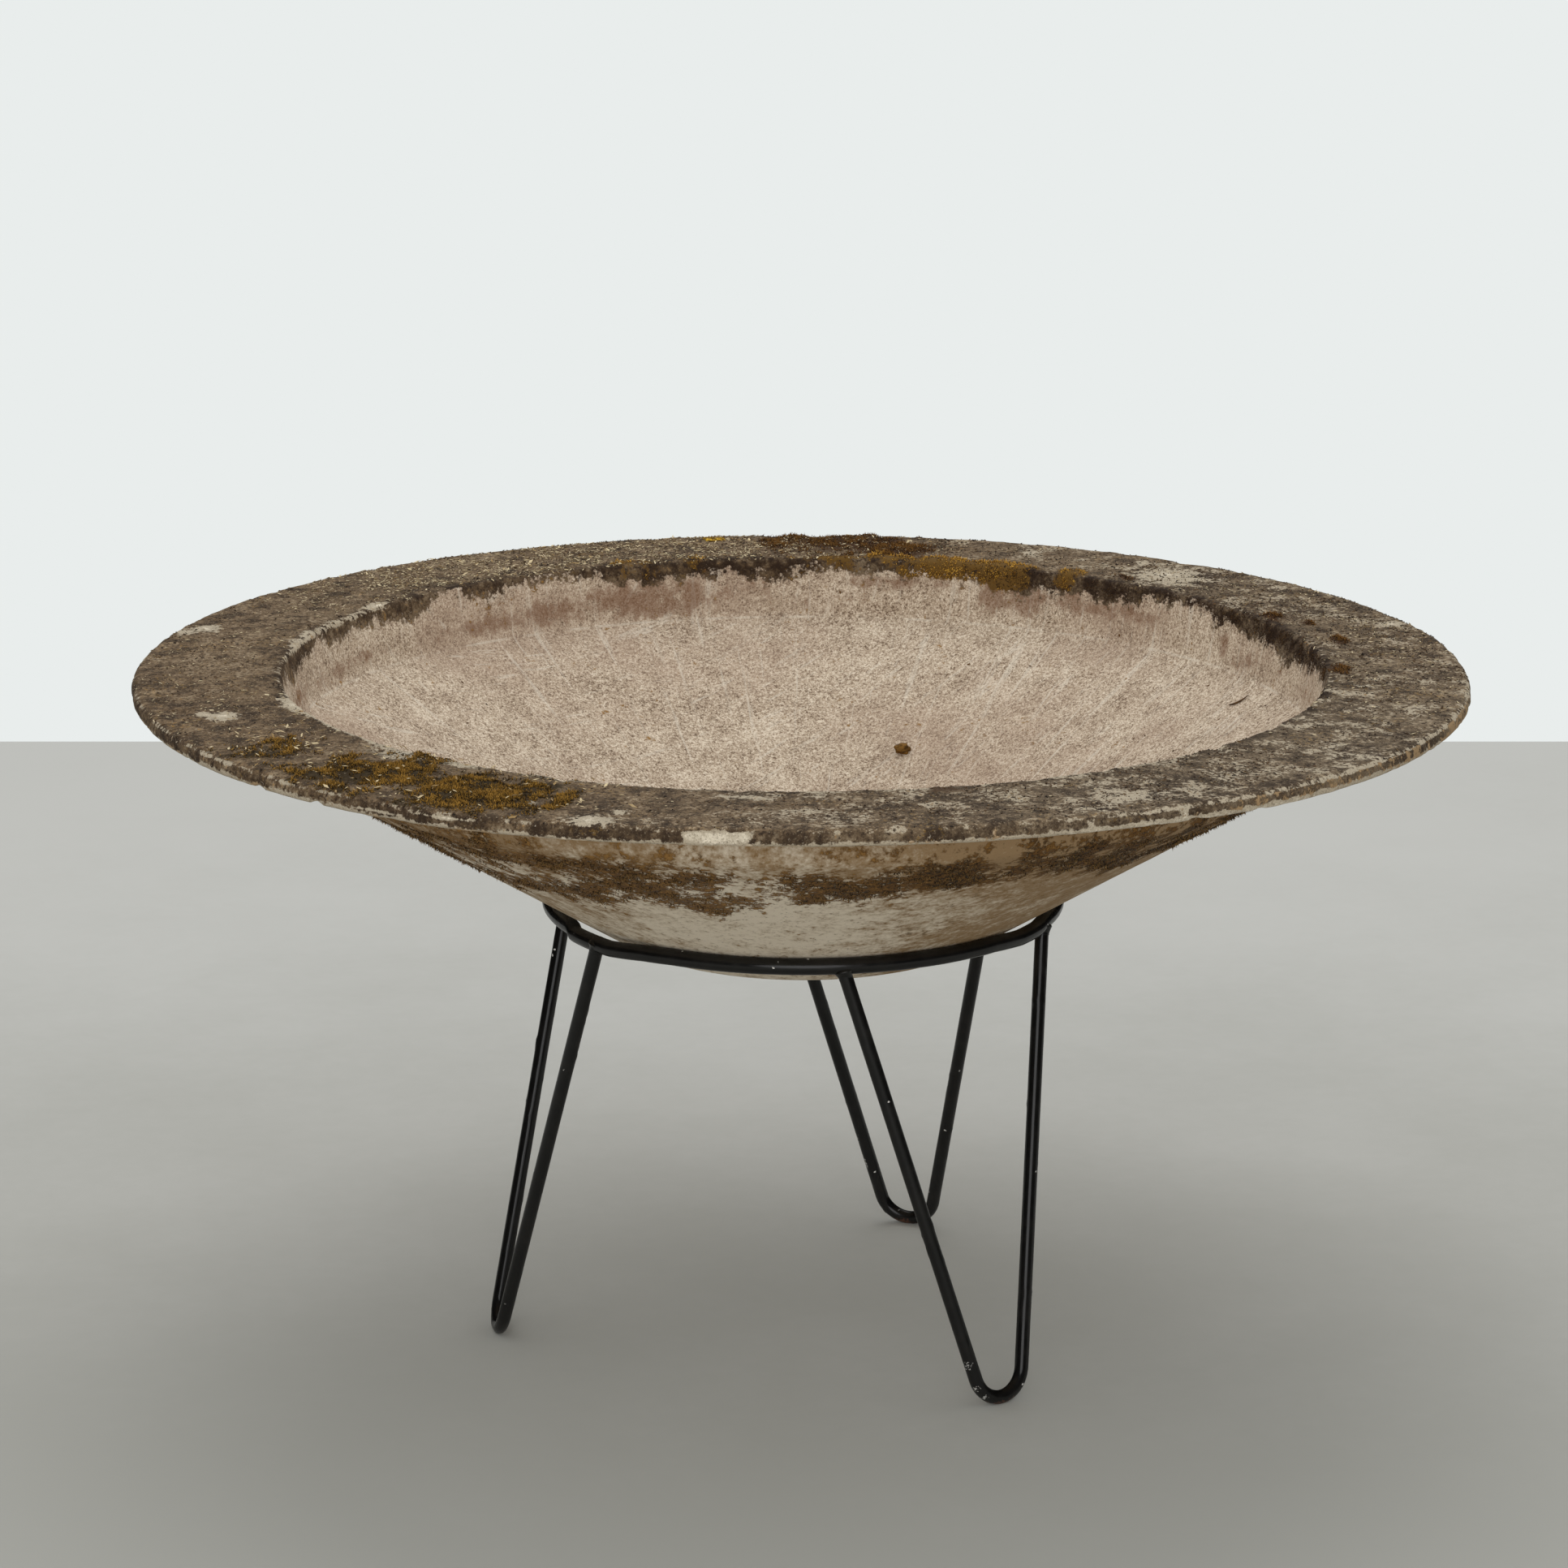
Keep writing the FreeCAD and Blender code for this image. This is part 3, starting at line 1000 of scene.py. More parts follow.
    def strength(self, kind: Kind, ground: Ground, shift: Array) -> Array:
        """Strength of one kind of growth, stain or wear at each place, from 0 to about 1.

        A boundary is kept as a slope that passes 0.5 on the line before the noise shifts it.

        Args:
            kind: What is asked for.
            ground: Places on the bowl.
            shift: Noise from the method jitter.

        Returns:
            One number for each place.
        """
        if kind is Kind.CRUST:
            plain = self._crust(ground) + shift * np.where(ground.on(Zone.FLANGE), 0.2, 0.75)
        elif kind is Kind.BARE:
            plain = self._bare(ground)
            plain = plain + np.where(plain > 0.05, 0.5 * shift, 0)
        elif kind is Kind.STAIN:
            plain = self._stain(ground) + 0.5 * shift
            plain = np.where(ground.on(Zone.WALL, Zone.CONE_INSIDE), plain, 0)
        elif kind is Kind.GROWTH:
            plain = self._growth(ground) + 0.5 * shift
        else:
            moss = {Kind.OLIVE: self.olive_moss, Kind.RUSSET: self.russet_moss, Kind.GOLD: self.golden_moss}
            zones = (Zone.FLANGE, Zone.WALL) if kind is Kind.GOLD else (Zone.FLANGE,)
            plain = cover_all(moss[kind], ground.angle, ground.radius) + shift
            plain = plain - np.clip((self.moss_foot - ground.height) / self.moss_reach, 0, 1)
            plain = np.where(ground.on(*zones), plain, 0)
        return np.clip(plain, 0, 1.2)

    def tones(self, ground: Ground) -> dict[str, Array]:
        """Values that only tint: the inner face, how brown the crust is, painted shade on the steep wall and
        the rim's outer face, height and rust.
        """
        wall = np.maximum(ground.on(Zone.WALL), ground.ridge(Zone.WALL, self.shade_width))
        outer = np.clip((ground.radius - self.rust_radius) / self.rust_reach, 0, 1)
        return {
            "inside": ground.on(Zone.WALL, Zone.CONE_INSIDE, Zone.BASE_INSIDE).astype(float),
            "warm": round_line(ground.angle, self.warmth),
            # Painted shade on the wall below the lip, fading over the lip's corner, and at half strength on
            # the rim's outer face.
            "wall_shade": wall * round_line(ground.angle, self.wall_shading) + 0.5 * ground.on(Zone.EDGE),
            "level": ground.height,
            "rusty": round_line(ground.angle, self.rust) + 0.68 * outer,
        }

    def _crust(self, ground: Ground) -> Array:
        """Crust: all over the flange, ragged on the edge, and down the wall as far as its stations say."""
        wall = 0.5 + (ground.height - round_line(ground.angle, self.wall_crust_foot)) / self.crust_reach
        pale = np.clip((self.edge_pale_height - ground.height) / self.edge_pale_reach, 0, 1)
        edge = round_line(ground.angle, self.edge_crust) - pale * round_line(ground.angle, self.edge_pale)
        zones = (Zone.FLANGE, Zone.EDGE, Zone.WALL, Zone.FLANGE_UNDER)
        covers = [np.full_like(wall, 0.98), edge, wall, np.full_like(wall, 0.28)]
        crust = np.select([ground.on(zone) for zone in zones], covers, 0.1)
        return crust * ~ground.on(Zone.CONE_INSIDE, Zone.BASE_INSIDE, Zone.DRAIN)

    def _bare(self, ground: Ground) -> Array:
        """Bare spots: patches and scrapes on the flange, scars on the edge, and worn corners."""
        angle = ground.angle
        spots = np.maximum(cover_all(self.bare_spots, angle, ground.radius), round_line(angle, self.scrapes))
        scars = np.maximum(cover_all(self.edge_scars, angle, ground.height), self.spalled(ground))
        corners = np.max([
            round_line(angle, self.lip_wear) * ground.ridge(Zone.WALL, self.lip_width),
            round_line(angle, self.rim_wear) * ground.ridge(Zone.FLANGE, self.rim_width),
            round_line(angle, self.foot_wear) * ground.ridge(Zone.EDGE, self.foot_width),
        ], axis=0)
        zones = [ground.on(Zone.FLANGE), ground.on(Zone.EDGE)]
        return np.maximum(np.select(zones, [spots, np.maximum(scars, 0.2)], 0.0), corners)

    def spalled(self, ground: Ground) -> Array:
        """Spall: a square-edged flake that has broken off the edge."""
        ragged = 0.3 * (fractal(ground.points(), 90, 3, 47) - 0.5)
        cover = self.spall.cover(ground.angle, ground.height) + ragged
        return np.where(ground.on(Zone.EDGE), np.clip(8 * (cover - 0.4), 0, 1), 0)

    def _stain(self, ground: Ground) -> Array:
        """Stain: a tide band low on the wall, and drips below the crust."""
        inside = np.minimum(ground.height - self.stain_low, self.stain_high - ground.height)
        band = np.clip(inside / self.stain_reach + 0.4, 0, 1) * round_line(ground.angle, self.stain_strength)
        return np.maximum(band, cover_all(self.drips, ground.angle, ground.height))

    def _growth(self, ground: Ground) -> Array:
        """Growth under the rim: a ragged belt between two radii, with clearings."""
        foot = round_line(ground.angle, self.growth_foot)
        head = round_line(ground.angle, self.growth_head)
        belt = 0.5 + np.minimum(1.6 * (ground.radius - foot), head - ground.radius) / self.growth_reach
        belt = np.minimum(belt, self.growth_cap) + round_line(ground.angle, self.growth_rise)
        belt -= 0.5 * cover_all(self.clearings, ground.angle, ground.radius)
        belt += 1.1 * (fractal(ground.points(), 48, 4, 29) - 0.5)
        return np.where(ground.on(Zone.CONE_OUTSIDE, Zone.NECK), belt, 0)

    def warped(self, ground: Ground, points: Array) -> Array:
        """Places moved down and out with the flange, which is neither quite flat nor quite round."""
        reach = np.clip((ground.radius - self.droop_radius) / self.droop_reach, 0, 1)
        reach = reach * (ground.height > self.droop_foot) * MM
        outward = 1 + round_line(ground.angle, self.bulge) * reach / ground.radius
        moved = points * np.stack([outward, outward, np.ones_like(outward)], axis=-1)
        moved[:, 2] -= round_line(ground.angle, self.sag) * reach
        return moved

    def lift(self, ground: Ground, values: dict[str, Array], calm_radius: float) -> Array:
        """How far the worn skin stands off the plain one: waves, crust, chips and the swell of moss.

        Args:
            ground: Places on the bowl.
            values: Strengths by the names of their kinds.
            calm_radius: Radius inside which the skin keeps to the plain shape, so that it sits in the hoop.

        Returns:
            Distances along the outward normal.
        """
        places = ground.points()
        waves = (fractal(places, 7, 2, 31) - 0.5) * self.wave_depth
        rough = (fractal(places, 110, 2, 37) - 0.5) * (0.5 + values["crust"]) * MM
        chips = np.clip(fractal(places, 60, 2, 41) - 0.62, 0, 1) * self.chip_depth * (values["bare"] > 0.2)
        chips += self.spalled(ground) * self.spall_depth
        lumps = fractal(places, 75, 3, 43)
        mosses = (Kind.OLIVE, Kind.RUSSET, Kind.GOLD)
        swell = sum(np.clip(values[kind.value] - 0.5, 0, 0.5) * 2 for kind in mosses) * (0.5 + 4 * lumps) * MM
        swell += np.clip(values["growth"] - 0.5, 0, 0.5) * self.growth_swell * lumps
        calm = np.clip((ground.radius - calm_radius) / self.calm_reach, 0, 1)
        return (waves + rough - chips + swell) * calm


@dataclass
class Bowl:
    """The turned bowl and what grows and lies on it.

    Attributes:
        rim_radius: Outer radius of the flange.
        height: Height from the underside of the base to the top of the flange.
        seat: Height of the underside of the base above the floor.
    """

    rim_radius: float
    height: float
    seat: float
    flange_width: float = 107 * MM
    flange_thickness: float = 12 * MM
    wall: float = 9 * MM
    neck_draft: float = math.radians(11)
    cone_slope: float = math.radians(31.5)
    base_radius: float = 128 * MM
    drain_radius: float = 15 * MM
    calm_radius: float = 215 * MM
    base_round: float = 80 * MM
    shoulder_round: float = 15 * MM
    root_round: float = 8 * MM
    rim_foot_round: float = 3 * MM
    rim_round: float = 6 * MM
    lip_round: float = 4 * MM
    around_cells: int = 864
    weathering: Weathering = Weathering()

    @classmethod
    def from_frame(cls) -> Bowl:
        """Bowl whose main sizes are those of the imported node."""
        low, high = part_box("bowl")
        return cls(rim_radius=high.x, height=high.z - low.z, seat=low.z)

    def __post_init__(self) -> None:
        """Lays out the outline once, because every piece on the bowl follows it."""
        self.outline = TurnedOutline(self._corners())

    def _shoulder(self, top: tuple[float, float], foot: tuple[float, float]) -> tuple[float, float]:
        """Where a neck line, drawn down from a top, meets a cone line, drawn up from a foot."""
        pitch = math.tan(self.cone_slope)
        lean = math.tan(self.neck_draft)
        drop = (top[1] - foot[1] - (top[0] - foot[0]) * pitch) / (1 - lean * pitch)
        return top[0] - drop * lean, top[1] - drop

    def _corners(self) -> list[Corner]:
        """Corners of the wall's outline: the underside and the outside first, then back along the inside."""
        under = self.height - self.flange_thickness
        lip = (self.rim_radius - self.flange_width, self.height)
        outer_foot = (self.base_radius, 0.0)
        inner_foot = (self.base_radius - self.wall * math.tan(self.cone_slope / 2), self.wall)
        shift = self.wall / math.cos(self.neck_draft) - self.flange_thickness * math.tan(self.neck_draft)
        root = (lip[0] + shift, under)
        return [
            Corner(Zone.BASE_UNDER, self.drain_radius, 0.0, 0.0, 0, 4),
            Corner(Zone.CONE_OUTSIDE, *outer_foot, self.base_round, 6, 18),
            Corner(Zone.NECK, *self._shoulder(root, outer_foot), self.shoulder_round + self.wall, 4, 3),
            Corner(Zone.FLANGE_UNDER, *root, self.root_round, 3, 7),
            Corner(Zone.EDGE, self.rim_radius, under, self.rim_foot_round, 3, 4),
            Corner(Zone.FLANGE, self.rim_radius, self.height, self.rim_round, 5, 18),
            Corner(Zone.WALL, *lip, self.lip_round, 4, 8),
            Corner(Zone.CONE_INSIDE, *self._shoulder(lip, inner_foot), self.shoulder_round, 4, 12),
            Corner(Zone.BASE_INSIDE, *inner_foot, self.base_round - self.wall, 4, 3),
            Corner(Zone.DRAIN, self.drain_radius, self.wall, 0.0, 0, 2),
        ]

    def ground(self, along: Array, angle: Array) -> Ground:
        """Places on the plain skin at arc lengths and angles."""
        radius, rise = self.outline.at(along).T
        return Ground(self.outline, along, angle, radius, rise, self.outline.outward(along), self.seat)

    def dressed(self, ground: Ground) -> tuple[Array, dict[str, Array]]:
        """Places on the worn skin, and the strength of each growth there."""
        values = self.weathering.strengths(ground)
        points = ground.points(self.weathering.lift(ground, values, self.calm_radius))
        return self.weathering.warped(ground, points), values

    def shell(self) -> Surface:
        """The bowl's skin: the outline's points, lifted by wear and growth, turned about the axis."""
        along, angle = np.meshgrid(
            self.outline.samples, np.linspace(0, FULL_TURN, self.around_cells, endpoint=False), indexing="ij"
        )
        ground = self.ground(along.ravel(), angle.ravel())
        points, values = self.dressed(ground)
        values |= self.weathering.tones(ground)
        values["around"] = ground.around(self.rim_radius)
        faces = joined_grid(len(self.outline.samples), self.around_cells, close_rows=True)
        return Surface(points, faces, values)

    def scatter(
        self, zones: Sequence[Zone], arc: tuple[float, float], tries: int, seed: int
    ) -> tuple[Ground, np.random.Generator]:
        """Places spread evenly over the area of some neighbouring zones.

        Args:
            zones: Zones in the order of the outline.
            arc: First and last angle.
            tries: Number of places before those of small radius are thinned.
            seed: Seed of the random draws.

        Returns:
            The places, and the random generator for further draws.
        """
        draw = np.random.default_rng(seed)
        start = self.outline.spans[zones[0]][0]
        end = self.outline.spans[zones[-1]][1]
        ground = self.ground(draw.uniform(start, end, tries), draw.uniform(*arc, tries) % FULL_TURN)
        even = draw.uniform(0, self.rim_radius, tries) < ground.radius
        return ground.pick(even), draw

    def build(self) -> None:
        """Makes the shell and everything on it."""
        put_piece("bowl_shell", self.shell(), WeatheredCement().material(), Body.BOWL, ("bowl",))
        Growth(self).build()
        Litter(self).build()


@dataclass(frozen=True)
class MossBed:
    """One kind of moss on the bowl.

    Attributes:
        name: Name of the piece.
        kind: Strength that it follows.
        zones: Zones that it grows in.
        arc: First and last angle that it can grow at.
        tries: Places that are tried.
        limit: Most shoots in the piece.
        length: Shortest and longest shoot.
        width: Half width of a shoot's foot.
        droop: How far the shoots hang down.
        finish: Their finish.
        seed: Seed of the random draws.
    """

    name: str
    kind: Kind
    zones: tuple[Zone, ...]
    arc: tuple[float, float]
    tries: int
    limit: int
    length: tuple[float, float]
    width: float
    droop: float
    finish: SoftGrowth
    seed: int


@dataclass
class Growth:
    """Moss on the bowl, as thousands of short shoots on the worn skin.

    Attributes:
        bowl: Bowl that it grows on.
        least: Strength below which nothing grows.
        upright: How far shoots follow the skin's normal.
        unruly: How far they follow a random direction.
        root: Depth of their feet in the skin.
    """

    bowl: Bowl
    least: float = 0.48
    upright: float = 0.5
    unruly: float = 0.5
    root: float = 0.3 * MM
    # For each moss: foot, first and second colour. The dark foot is partly painted shade, and the pale second
    # colour, which shoots on cushion tops take, is partly painted light.
    olive: SoftGrowth = SoftGrowth("olive_moss", srgb(18, 13, 4), srgb(66, 46, 13), srgb(168, 126, 54))
    russet: SoftGrowth = SoftGrowth("russet_moss", srgb(32, 20, 10), srgb(76, 48, 22), srgb(134, 94, 44))
    golden: SoftGrowth = SoftGrowth("golden_moss", srgb(58, 36, 10), srgb(138, 94, 30), srgb(214, 164, 68))
    dark: SoftGrowth = SoftGrowth("dark_moss", srgb(20, 13, 8), srgb(44, 29, 17), srgb(92, 66, 38))
    brown: SoftGrowth = SoftGrowth("brown_moss", srgb(26, 18, 9), srgb(58, 41, 20), srgb(136, 104, 60))

    def beds(self) -> list[MossBed]:
        """Every bed of moss, each with its place and its kind of shoot."""
        flange, wall = (Zone.FLANGE,), (Zone.WALL,)
        under = (Zone.CONE_OUTSIDE, Zone.NECK)
        short, fine, hair = (1.2 * MM, 3.4 * MM), (1.2 * MM, 3.2 * MM), (1.0 * MM, 2.6 * MM)
        return [
            MossBed("moss_front", Kind.OLIVE, flange, (198, 246), 90000, 45000, short, 0.55 * MM, 0.0,
                    self.olive, 101),
            MossBed("moss_russet", Kind.RUSSET, flange, (330, 450), 150000, 30000, short, 0.55 * MM, 0.0,
                    self.russet, 103),
            MossBed("moss_golden", Kind.GOLD, flange + wall, (40, 112), 90000, 24000, short, 0.55 * MM, 0.3,
                    self.golden, 107),
            MossBed("moss_lip", Kind.CRUST, wall, (-12, 62), 26000, 9000, hair, 0.4 * MM, 0.3,
                    self.dark, 109),
            MossBed("moss_under_front", Kind.GROWTH, under, (165, 355), 170000, 48000, fine, 0.5 * MM, 0.3,
                    self.brown, 113),
            MossBed("moss_under_back", Kind.GROWTH, under, (-5, 165), 120000, 36000, fine, 0.5 * MM, 0.3,
                    self.brown, 127),
        ]

    def build(self) -> None:
        """Makes each bed of moss."""
        for bed in self.beds():
            put_piece(bed.name, self.shoots(bed), bed.finish.material(), Body.BOWL)

    def shoots(self, bed: MossBed) -> Surface:
        """Shoots of one bed, thick where its strength is high and in small cushions, paler on the cushions'
        tops and darker in their hollows as painted light and shade.

        A shoot's direction is a sum of the skin's normal, the way down and a random direction.

        Args:
            bed: The bed.

        Returns:
            The shoots as one surface.
        """
        weathering = self.bowl.weathering
        ground, draw = self.bowl.scatter(bed.zones, bed.arc, bed.tries, bed.seed)
        thick = weathering.strength(bed.kind, ground, weathering.jitter(ground))
        cushions = fractal(ground.points(), 130, 2, bed.seed)
        chance = np.clip((thick - self.least) * 3, 0, 1) * np.clip(cushions * 2.4 - 0.6, 0.05, 1)
        kept = np.flatnonzero(draw.uniform(0, 1, len(chance)) < chance)[:bed.limit]
        ground = ground.pick(kept)
        points = self.bowl.dressed(ground)[0]
        count = len(points)
        loose = draw.normal(0, 1, (count, 3))
        along = unit(ground.normals() * self.upright - UP * bed.droop + loose * self.unruly)
        length = draw.uniform(*bed.length, count) * (0.5 + cushions[kept])
        width = bed.width * draw.uniform(0.7, 1.3, count)
        # Over a random tone, shoots on cushion tops get a paler tone and those in hollows a darker one:
        # painted light and shade.
        tone = np.clip(0.6 * draw.uniform(0, 1, count) + 0.9 * (cushions[kept] - 0.34), 0, 1)
        return spikes(points - ground.normals() * self.root, along, length, width, tone)


@dataclass(frozen=True)
class FlakeBed:
    """One kind of dry litter on the bowl.

    Attributes:
        name: Name of the piece.
        zones: Zones that it lies in.
        tries: Places that are tried.
        length: Shortest and longest chip.
        slender: Width as a share of the length.
        raised: Height above the worn skin.
        dense: Patches where it lies thickest.
        elsewhere: Chance of a chip outside them.
        finish: Its finish.
        seed: Seed of the random draws.
    """

    name: str
    zones: tuple[Zone, ...]
    tries: int
    length: tuple[float, float]
    slender: float
    raised: float
    dense: tuple[Patch, ...]
    elsewhere: float
    finish: DryFlake
    seed: int


@dataclass
class Litter:
    """Straw, bark crumbs, lichen, a crumb of moss and a twig on the bowl."""

    bowl: Bowl
    beds: tuple[FlakeBed, ...] = (
        FlakeBed("straw_flecks", (Zone.FLANGE,), 42000, (1.4 * MM, 5.0 * MM), 0.35, 0.3 * MM,
                 (Patch(106, 0.45, 22, 0.06, 1.2), Patch(185, 0.45, 22, 0.06, 0.1),
                  Patch(5, 0.44, 26, 0.06, 0.16), Patch(345, 0.44, 14, 0.06, 0.12)),
                 0.02, DryFlake("dry_straw", srgb(112, 90, 60), srgb(208, 190, 156), 0.2, 0.9), 211),
        FlakeBed("bark_crumbs", (Zone.FLANGE,), 20000, (1.2 * MM, 3.4 * MM), 0.6, 0.3 * MM,
                 (Patch(10, 0.43, 26, 0.06), Patch(88, 0.45, 26, 0.06), Patch(290, 0.42, 20, 0.04)),
                 0.25, DryFlake("bark_crumb", srgb(38, 28, 21), srgb(90, 66, 42)), 223),
        FlakeBed("wood_chips", (Zone.FLANGE,), 3200, (3.0 * MM, 8.0 * MM), 0.3, 2.6 * MM,
                 (Patch(224, 0.447, 14, 0.04, 1.2),),
                 0.0, DryFlake("wood_chip", srgb(150, 122, 80), srgb(206, 186, 148)), 227),
        FlakeBed("straw_chips", (Zone.FLANGE,), 3600, (3.0 * MM, 8.0 * MM), 0.3, 0.8 * MM,
                 (Patch(102, 0.452, 18, 0.045),),
                 0.0, DryFlake("straw_chip", srgb(150, 122, 80), srgb(206, 186, 148)), 228),
        FlakeBed("bowl_crumbs", (Zone.WALL, Zone.CONE_INSIDE), 900, (1.2 * MM, 4.0 * MM), 0.5, 0.3 * MM,
                 (Patch(30, 0.37, 30, 0.05),), 0.15,
                 DryFlake("moss_crumb", srgb(60, 42, 26), srgb(98, 68, 36)), 229),
    )

    def build(self) -> None:
        """Makes the chips and the single bits."""
        bits = [(bed.name, self.chips(bed), bed.finish) for bed in self.beds]
        bits += [
            ("ochre_lump", self.lump(63, 0.254, (5.5 * MM, 4.5 * MM, 4 * MM), 233),
             DryFlake("ochre_crumb", srgb(70, 48, 18), srgb(128, 90, 36))),
            ("yellow_lichen", self.rosette(90.6, 0.479, 9 * MM),
             DryFlake("yellow_lichen", srgb(150, 112, 24), srgb(196, 156, 46))),
            ("twig", self.twig(), DryFlake("twig_bark", srgb(60, 42, 26), srgb(104, 76, 46))),
        ]
        for name, surface, finish in bits:
            put_piece(name, surface, finish.material(), Body.BOWL)

    def chips(self, bed: FlakeBed) -> Surface:
        """Chips of one bed, lying flat on the worn skin at random headings."""
        ground, draw = self.bowl.scatter(bed.zones, (0, FULL_TURN), bed.tries, bed.seed)
        dense = np.clip(2 * cover_all(bed.dense, ground.angle, ground.radius), 0, 1)
        groups = fractal(ground.points(), 60, 2, bed.seed)
        chance = np.maximum(dense, bed.elsewhere) * np.clip(groups * 3 - 0.9, 0.1, 1)
        kept = draw.uniform(0, 1, len(chance)) < chance
        ground = ground.pick(kept)
        points = self.bowl.dressed(ground)[0]
        count = len(points)
        out = unit(ground.normals() + draw.normal(0, 0.22, (count, 3)))
        along = unit(np.cross(out, draw.normal(0, 1, (count, 3))))
        length = bed.length[0] + (bed.length[1] - bed.length[0]) * draw.uniform(0, 1, count) ** 2
        width = length * bed.slender * draw.uniform(0.6, 1.4, count)
        base = points + ground.normals() * bed.raised
        return flakes(base, along, out, length, width, draw.uniform(0, 1, count))

    def spot(self, angle: float, radius: float) -> tuple[Array, Array]:
        """Place on the inner cone or the flange at an angle and a radius, and its normal."""
        on_flange = radius > self.bowl.rim_radius - self.bowl.flange_width
        zones = (Zone.FLANGE, Zone.FLANGE) if on_flange else (Zone.CONE_INSIDE, Zone.BASE_INSIDE)
        spans = self.bowl.outline.spans
        along = np.linspace(spans[zones[0]][0], spans[zones[1]][1], 2000)
        nearest = np.argmin(np.abs(self.bowl.outline.at(along)[:, 0] - radius))
        ground = self.bowl.ground(along[nearest:nearest + 1], np.array([angle]))
        return self.bowl.dressed(ground)[0][0], ground.normals()[0]

    def lump(self, angle: float, radius: float, size: Triple, seed: int) -> Surface:
        """Knobbly crumb: a ball in latitude and longitude, scaled along each axis and swollen by noise."""
        place, normal = self.spot(angle, radius)
        latitude, longitude = np.meshgrid(
            np.linspace(-0.5, 0.5, 17)[1:-1] * math.pi, np.arange(28) / 28 * math.tau, indexing="ij"
        )
        rings = np.stack([
            np.cos(latitude) * np.cos(longitude), np.cos(latitude) * np.sin(longitude), np.sin(latitude),
        ], axis=-1)
        surface = capped_grid(rings, -UP, UP)
        ball = surface.points
        swollen = ball * (0.35 + 1.4 * fractal(ball + 5, 2.6, 3, seed))[:, None]
        surface.points = swollen * np.array(size) + place + normal * size[2] * 0.5
        surface.values["tone"] = fractal(ball + 9, 4, 2, seed)
        return surface

    def rosette(self, angle: float, radius: float, size: float) -> Surface:
        """Lichen rosette: chips that lie round a middle, larger towards the outside."""
        place, normal = self.spot(angle, radius)
        draw = np.random.default_rng(239)
        count = 90
        turn = draw.uniform(0, math.tau, count)
        reach = size * np.sqrt(draw.uniform(0, 1, count))
        spread = np.stack([np.cos(turn), np.sin(turn), np.zeros(count)], axis=-1)
        base = place + spread * reach[:, None] + normal * draw.uniform(0.3, 1.6, count)[:, None] * MM
        out = unit(normal + 0.4 * spread + draw.normal(0, 0.2, (count, 3)))
        along = unit(np.cross(out, np.cross(spread, out)))
        length = draw.uniform(2, 4, count) * MM
        return flakes(base, along, out, length, length * 0.7, draw.uniform(0, 1, count))

    def twig(self) -> Surface:
        """Twig on the inner cone: a thin tapering tube along a bowed line between two places."""
        start, normal = self.spot(12.7, 0.358)
        end = self.spot(11.8, 0.372)[0]
        part = np.linspace(0, 1, 20)[:, None]
        bow = np.sin(part * math.pi) * np.cross(end - start, normal) * 0.16
        line = start + (end - start) * part + bow + normal * MM
        thick = (0.3 + 0.7 * np.sin((0.15 + 0.85 * part[:, 0]) * math.pi)) * 0.8 * MM
        surface = tube(line, normal, thick[:, None] * np.ones((1, 8)))
        surface.values["tone"] = fractal(surface.points, 300, 2, 241)
        return surface


def tube(line: Array, normal: Array, thickness: Array) -> Surface:
    """Tube with closed ends: circles square to a line, of a radius for each point round each circle.

    A circle's point is the line's point plus the radius times the cosine along a fixed normal's part
    that is square to the line, and times the sine along the third direction. Each end is drawn to a point.

    Args:
        line: Points of the middle line.
        normal: Direction, or one for each point, that is never along the line.
        thickness: Radius for each point of the line and each point round it.

    Returns:
        The tube.
    """
    tangent = unit(np.gradient(line, axis=0))
    side = unit(np.cross(tangent, np.broadcast_to(normal, line.shape)))
    other = np.cross(tangent, side)
    count = thickness.shape[1]
    turn = np.arange(count) / count * math.tau
    arms = np.cos(turn)[None, :, None] * side[:, None] + np.sin(turn)[None, :, None] * other[:, None]
    return capped_grid(line[:, None] + arms * thickness[:, :, None], line[0], line[-1])


def tube_middle(line: Array, sides: int) -> Array:
    """Point of the middle line that belongs to each point of a tube, those at its two ends last."""
    return np.concatenate([np.repeat(line, sides, axis=0), line[[0, -1]]])


def thickened(surface: Surface, line: Array, share: Array) -> None:
    """Swells or thins a tube: each point moves away from its middle line by a share of its distance.

    Args:
        surface: Tube to change.
        line: Its middle line.
        share: Share for each of the tube's points.
    """
    middle = tube_middle(line, (len(surface.points) - 2) // len(line))
    surface.points = middle + (surface.points - middle) * (1 + share)[:, None]


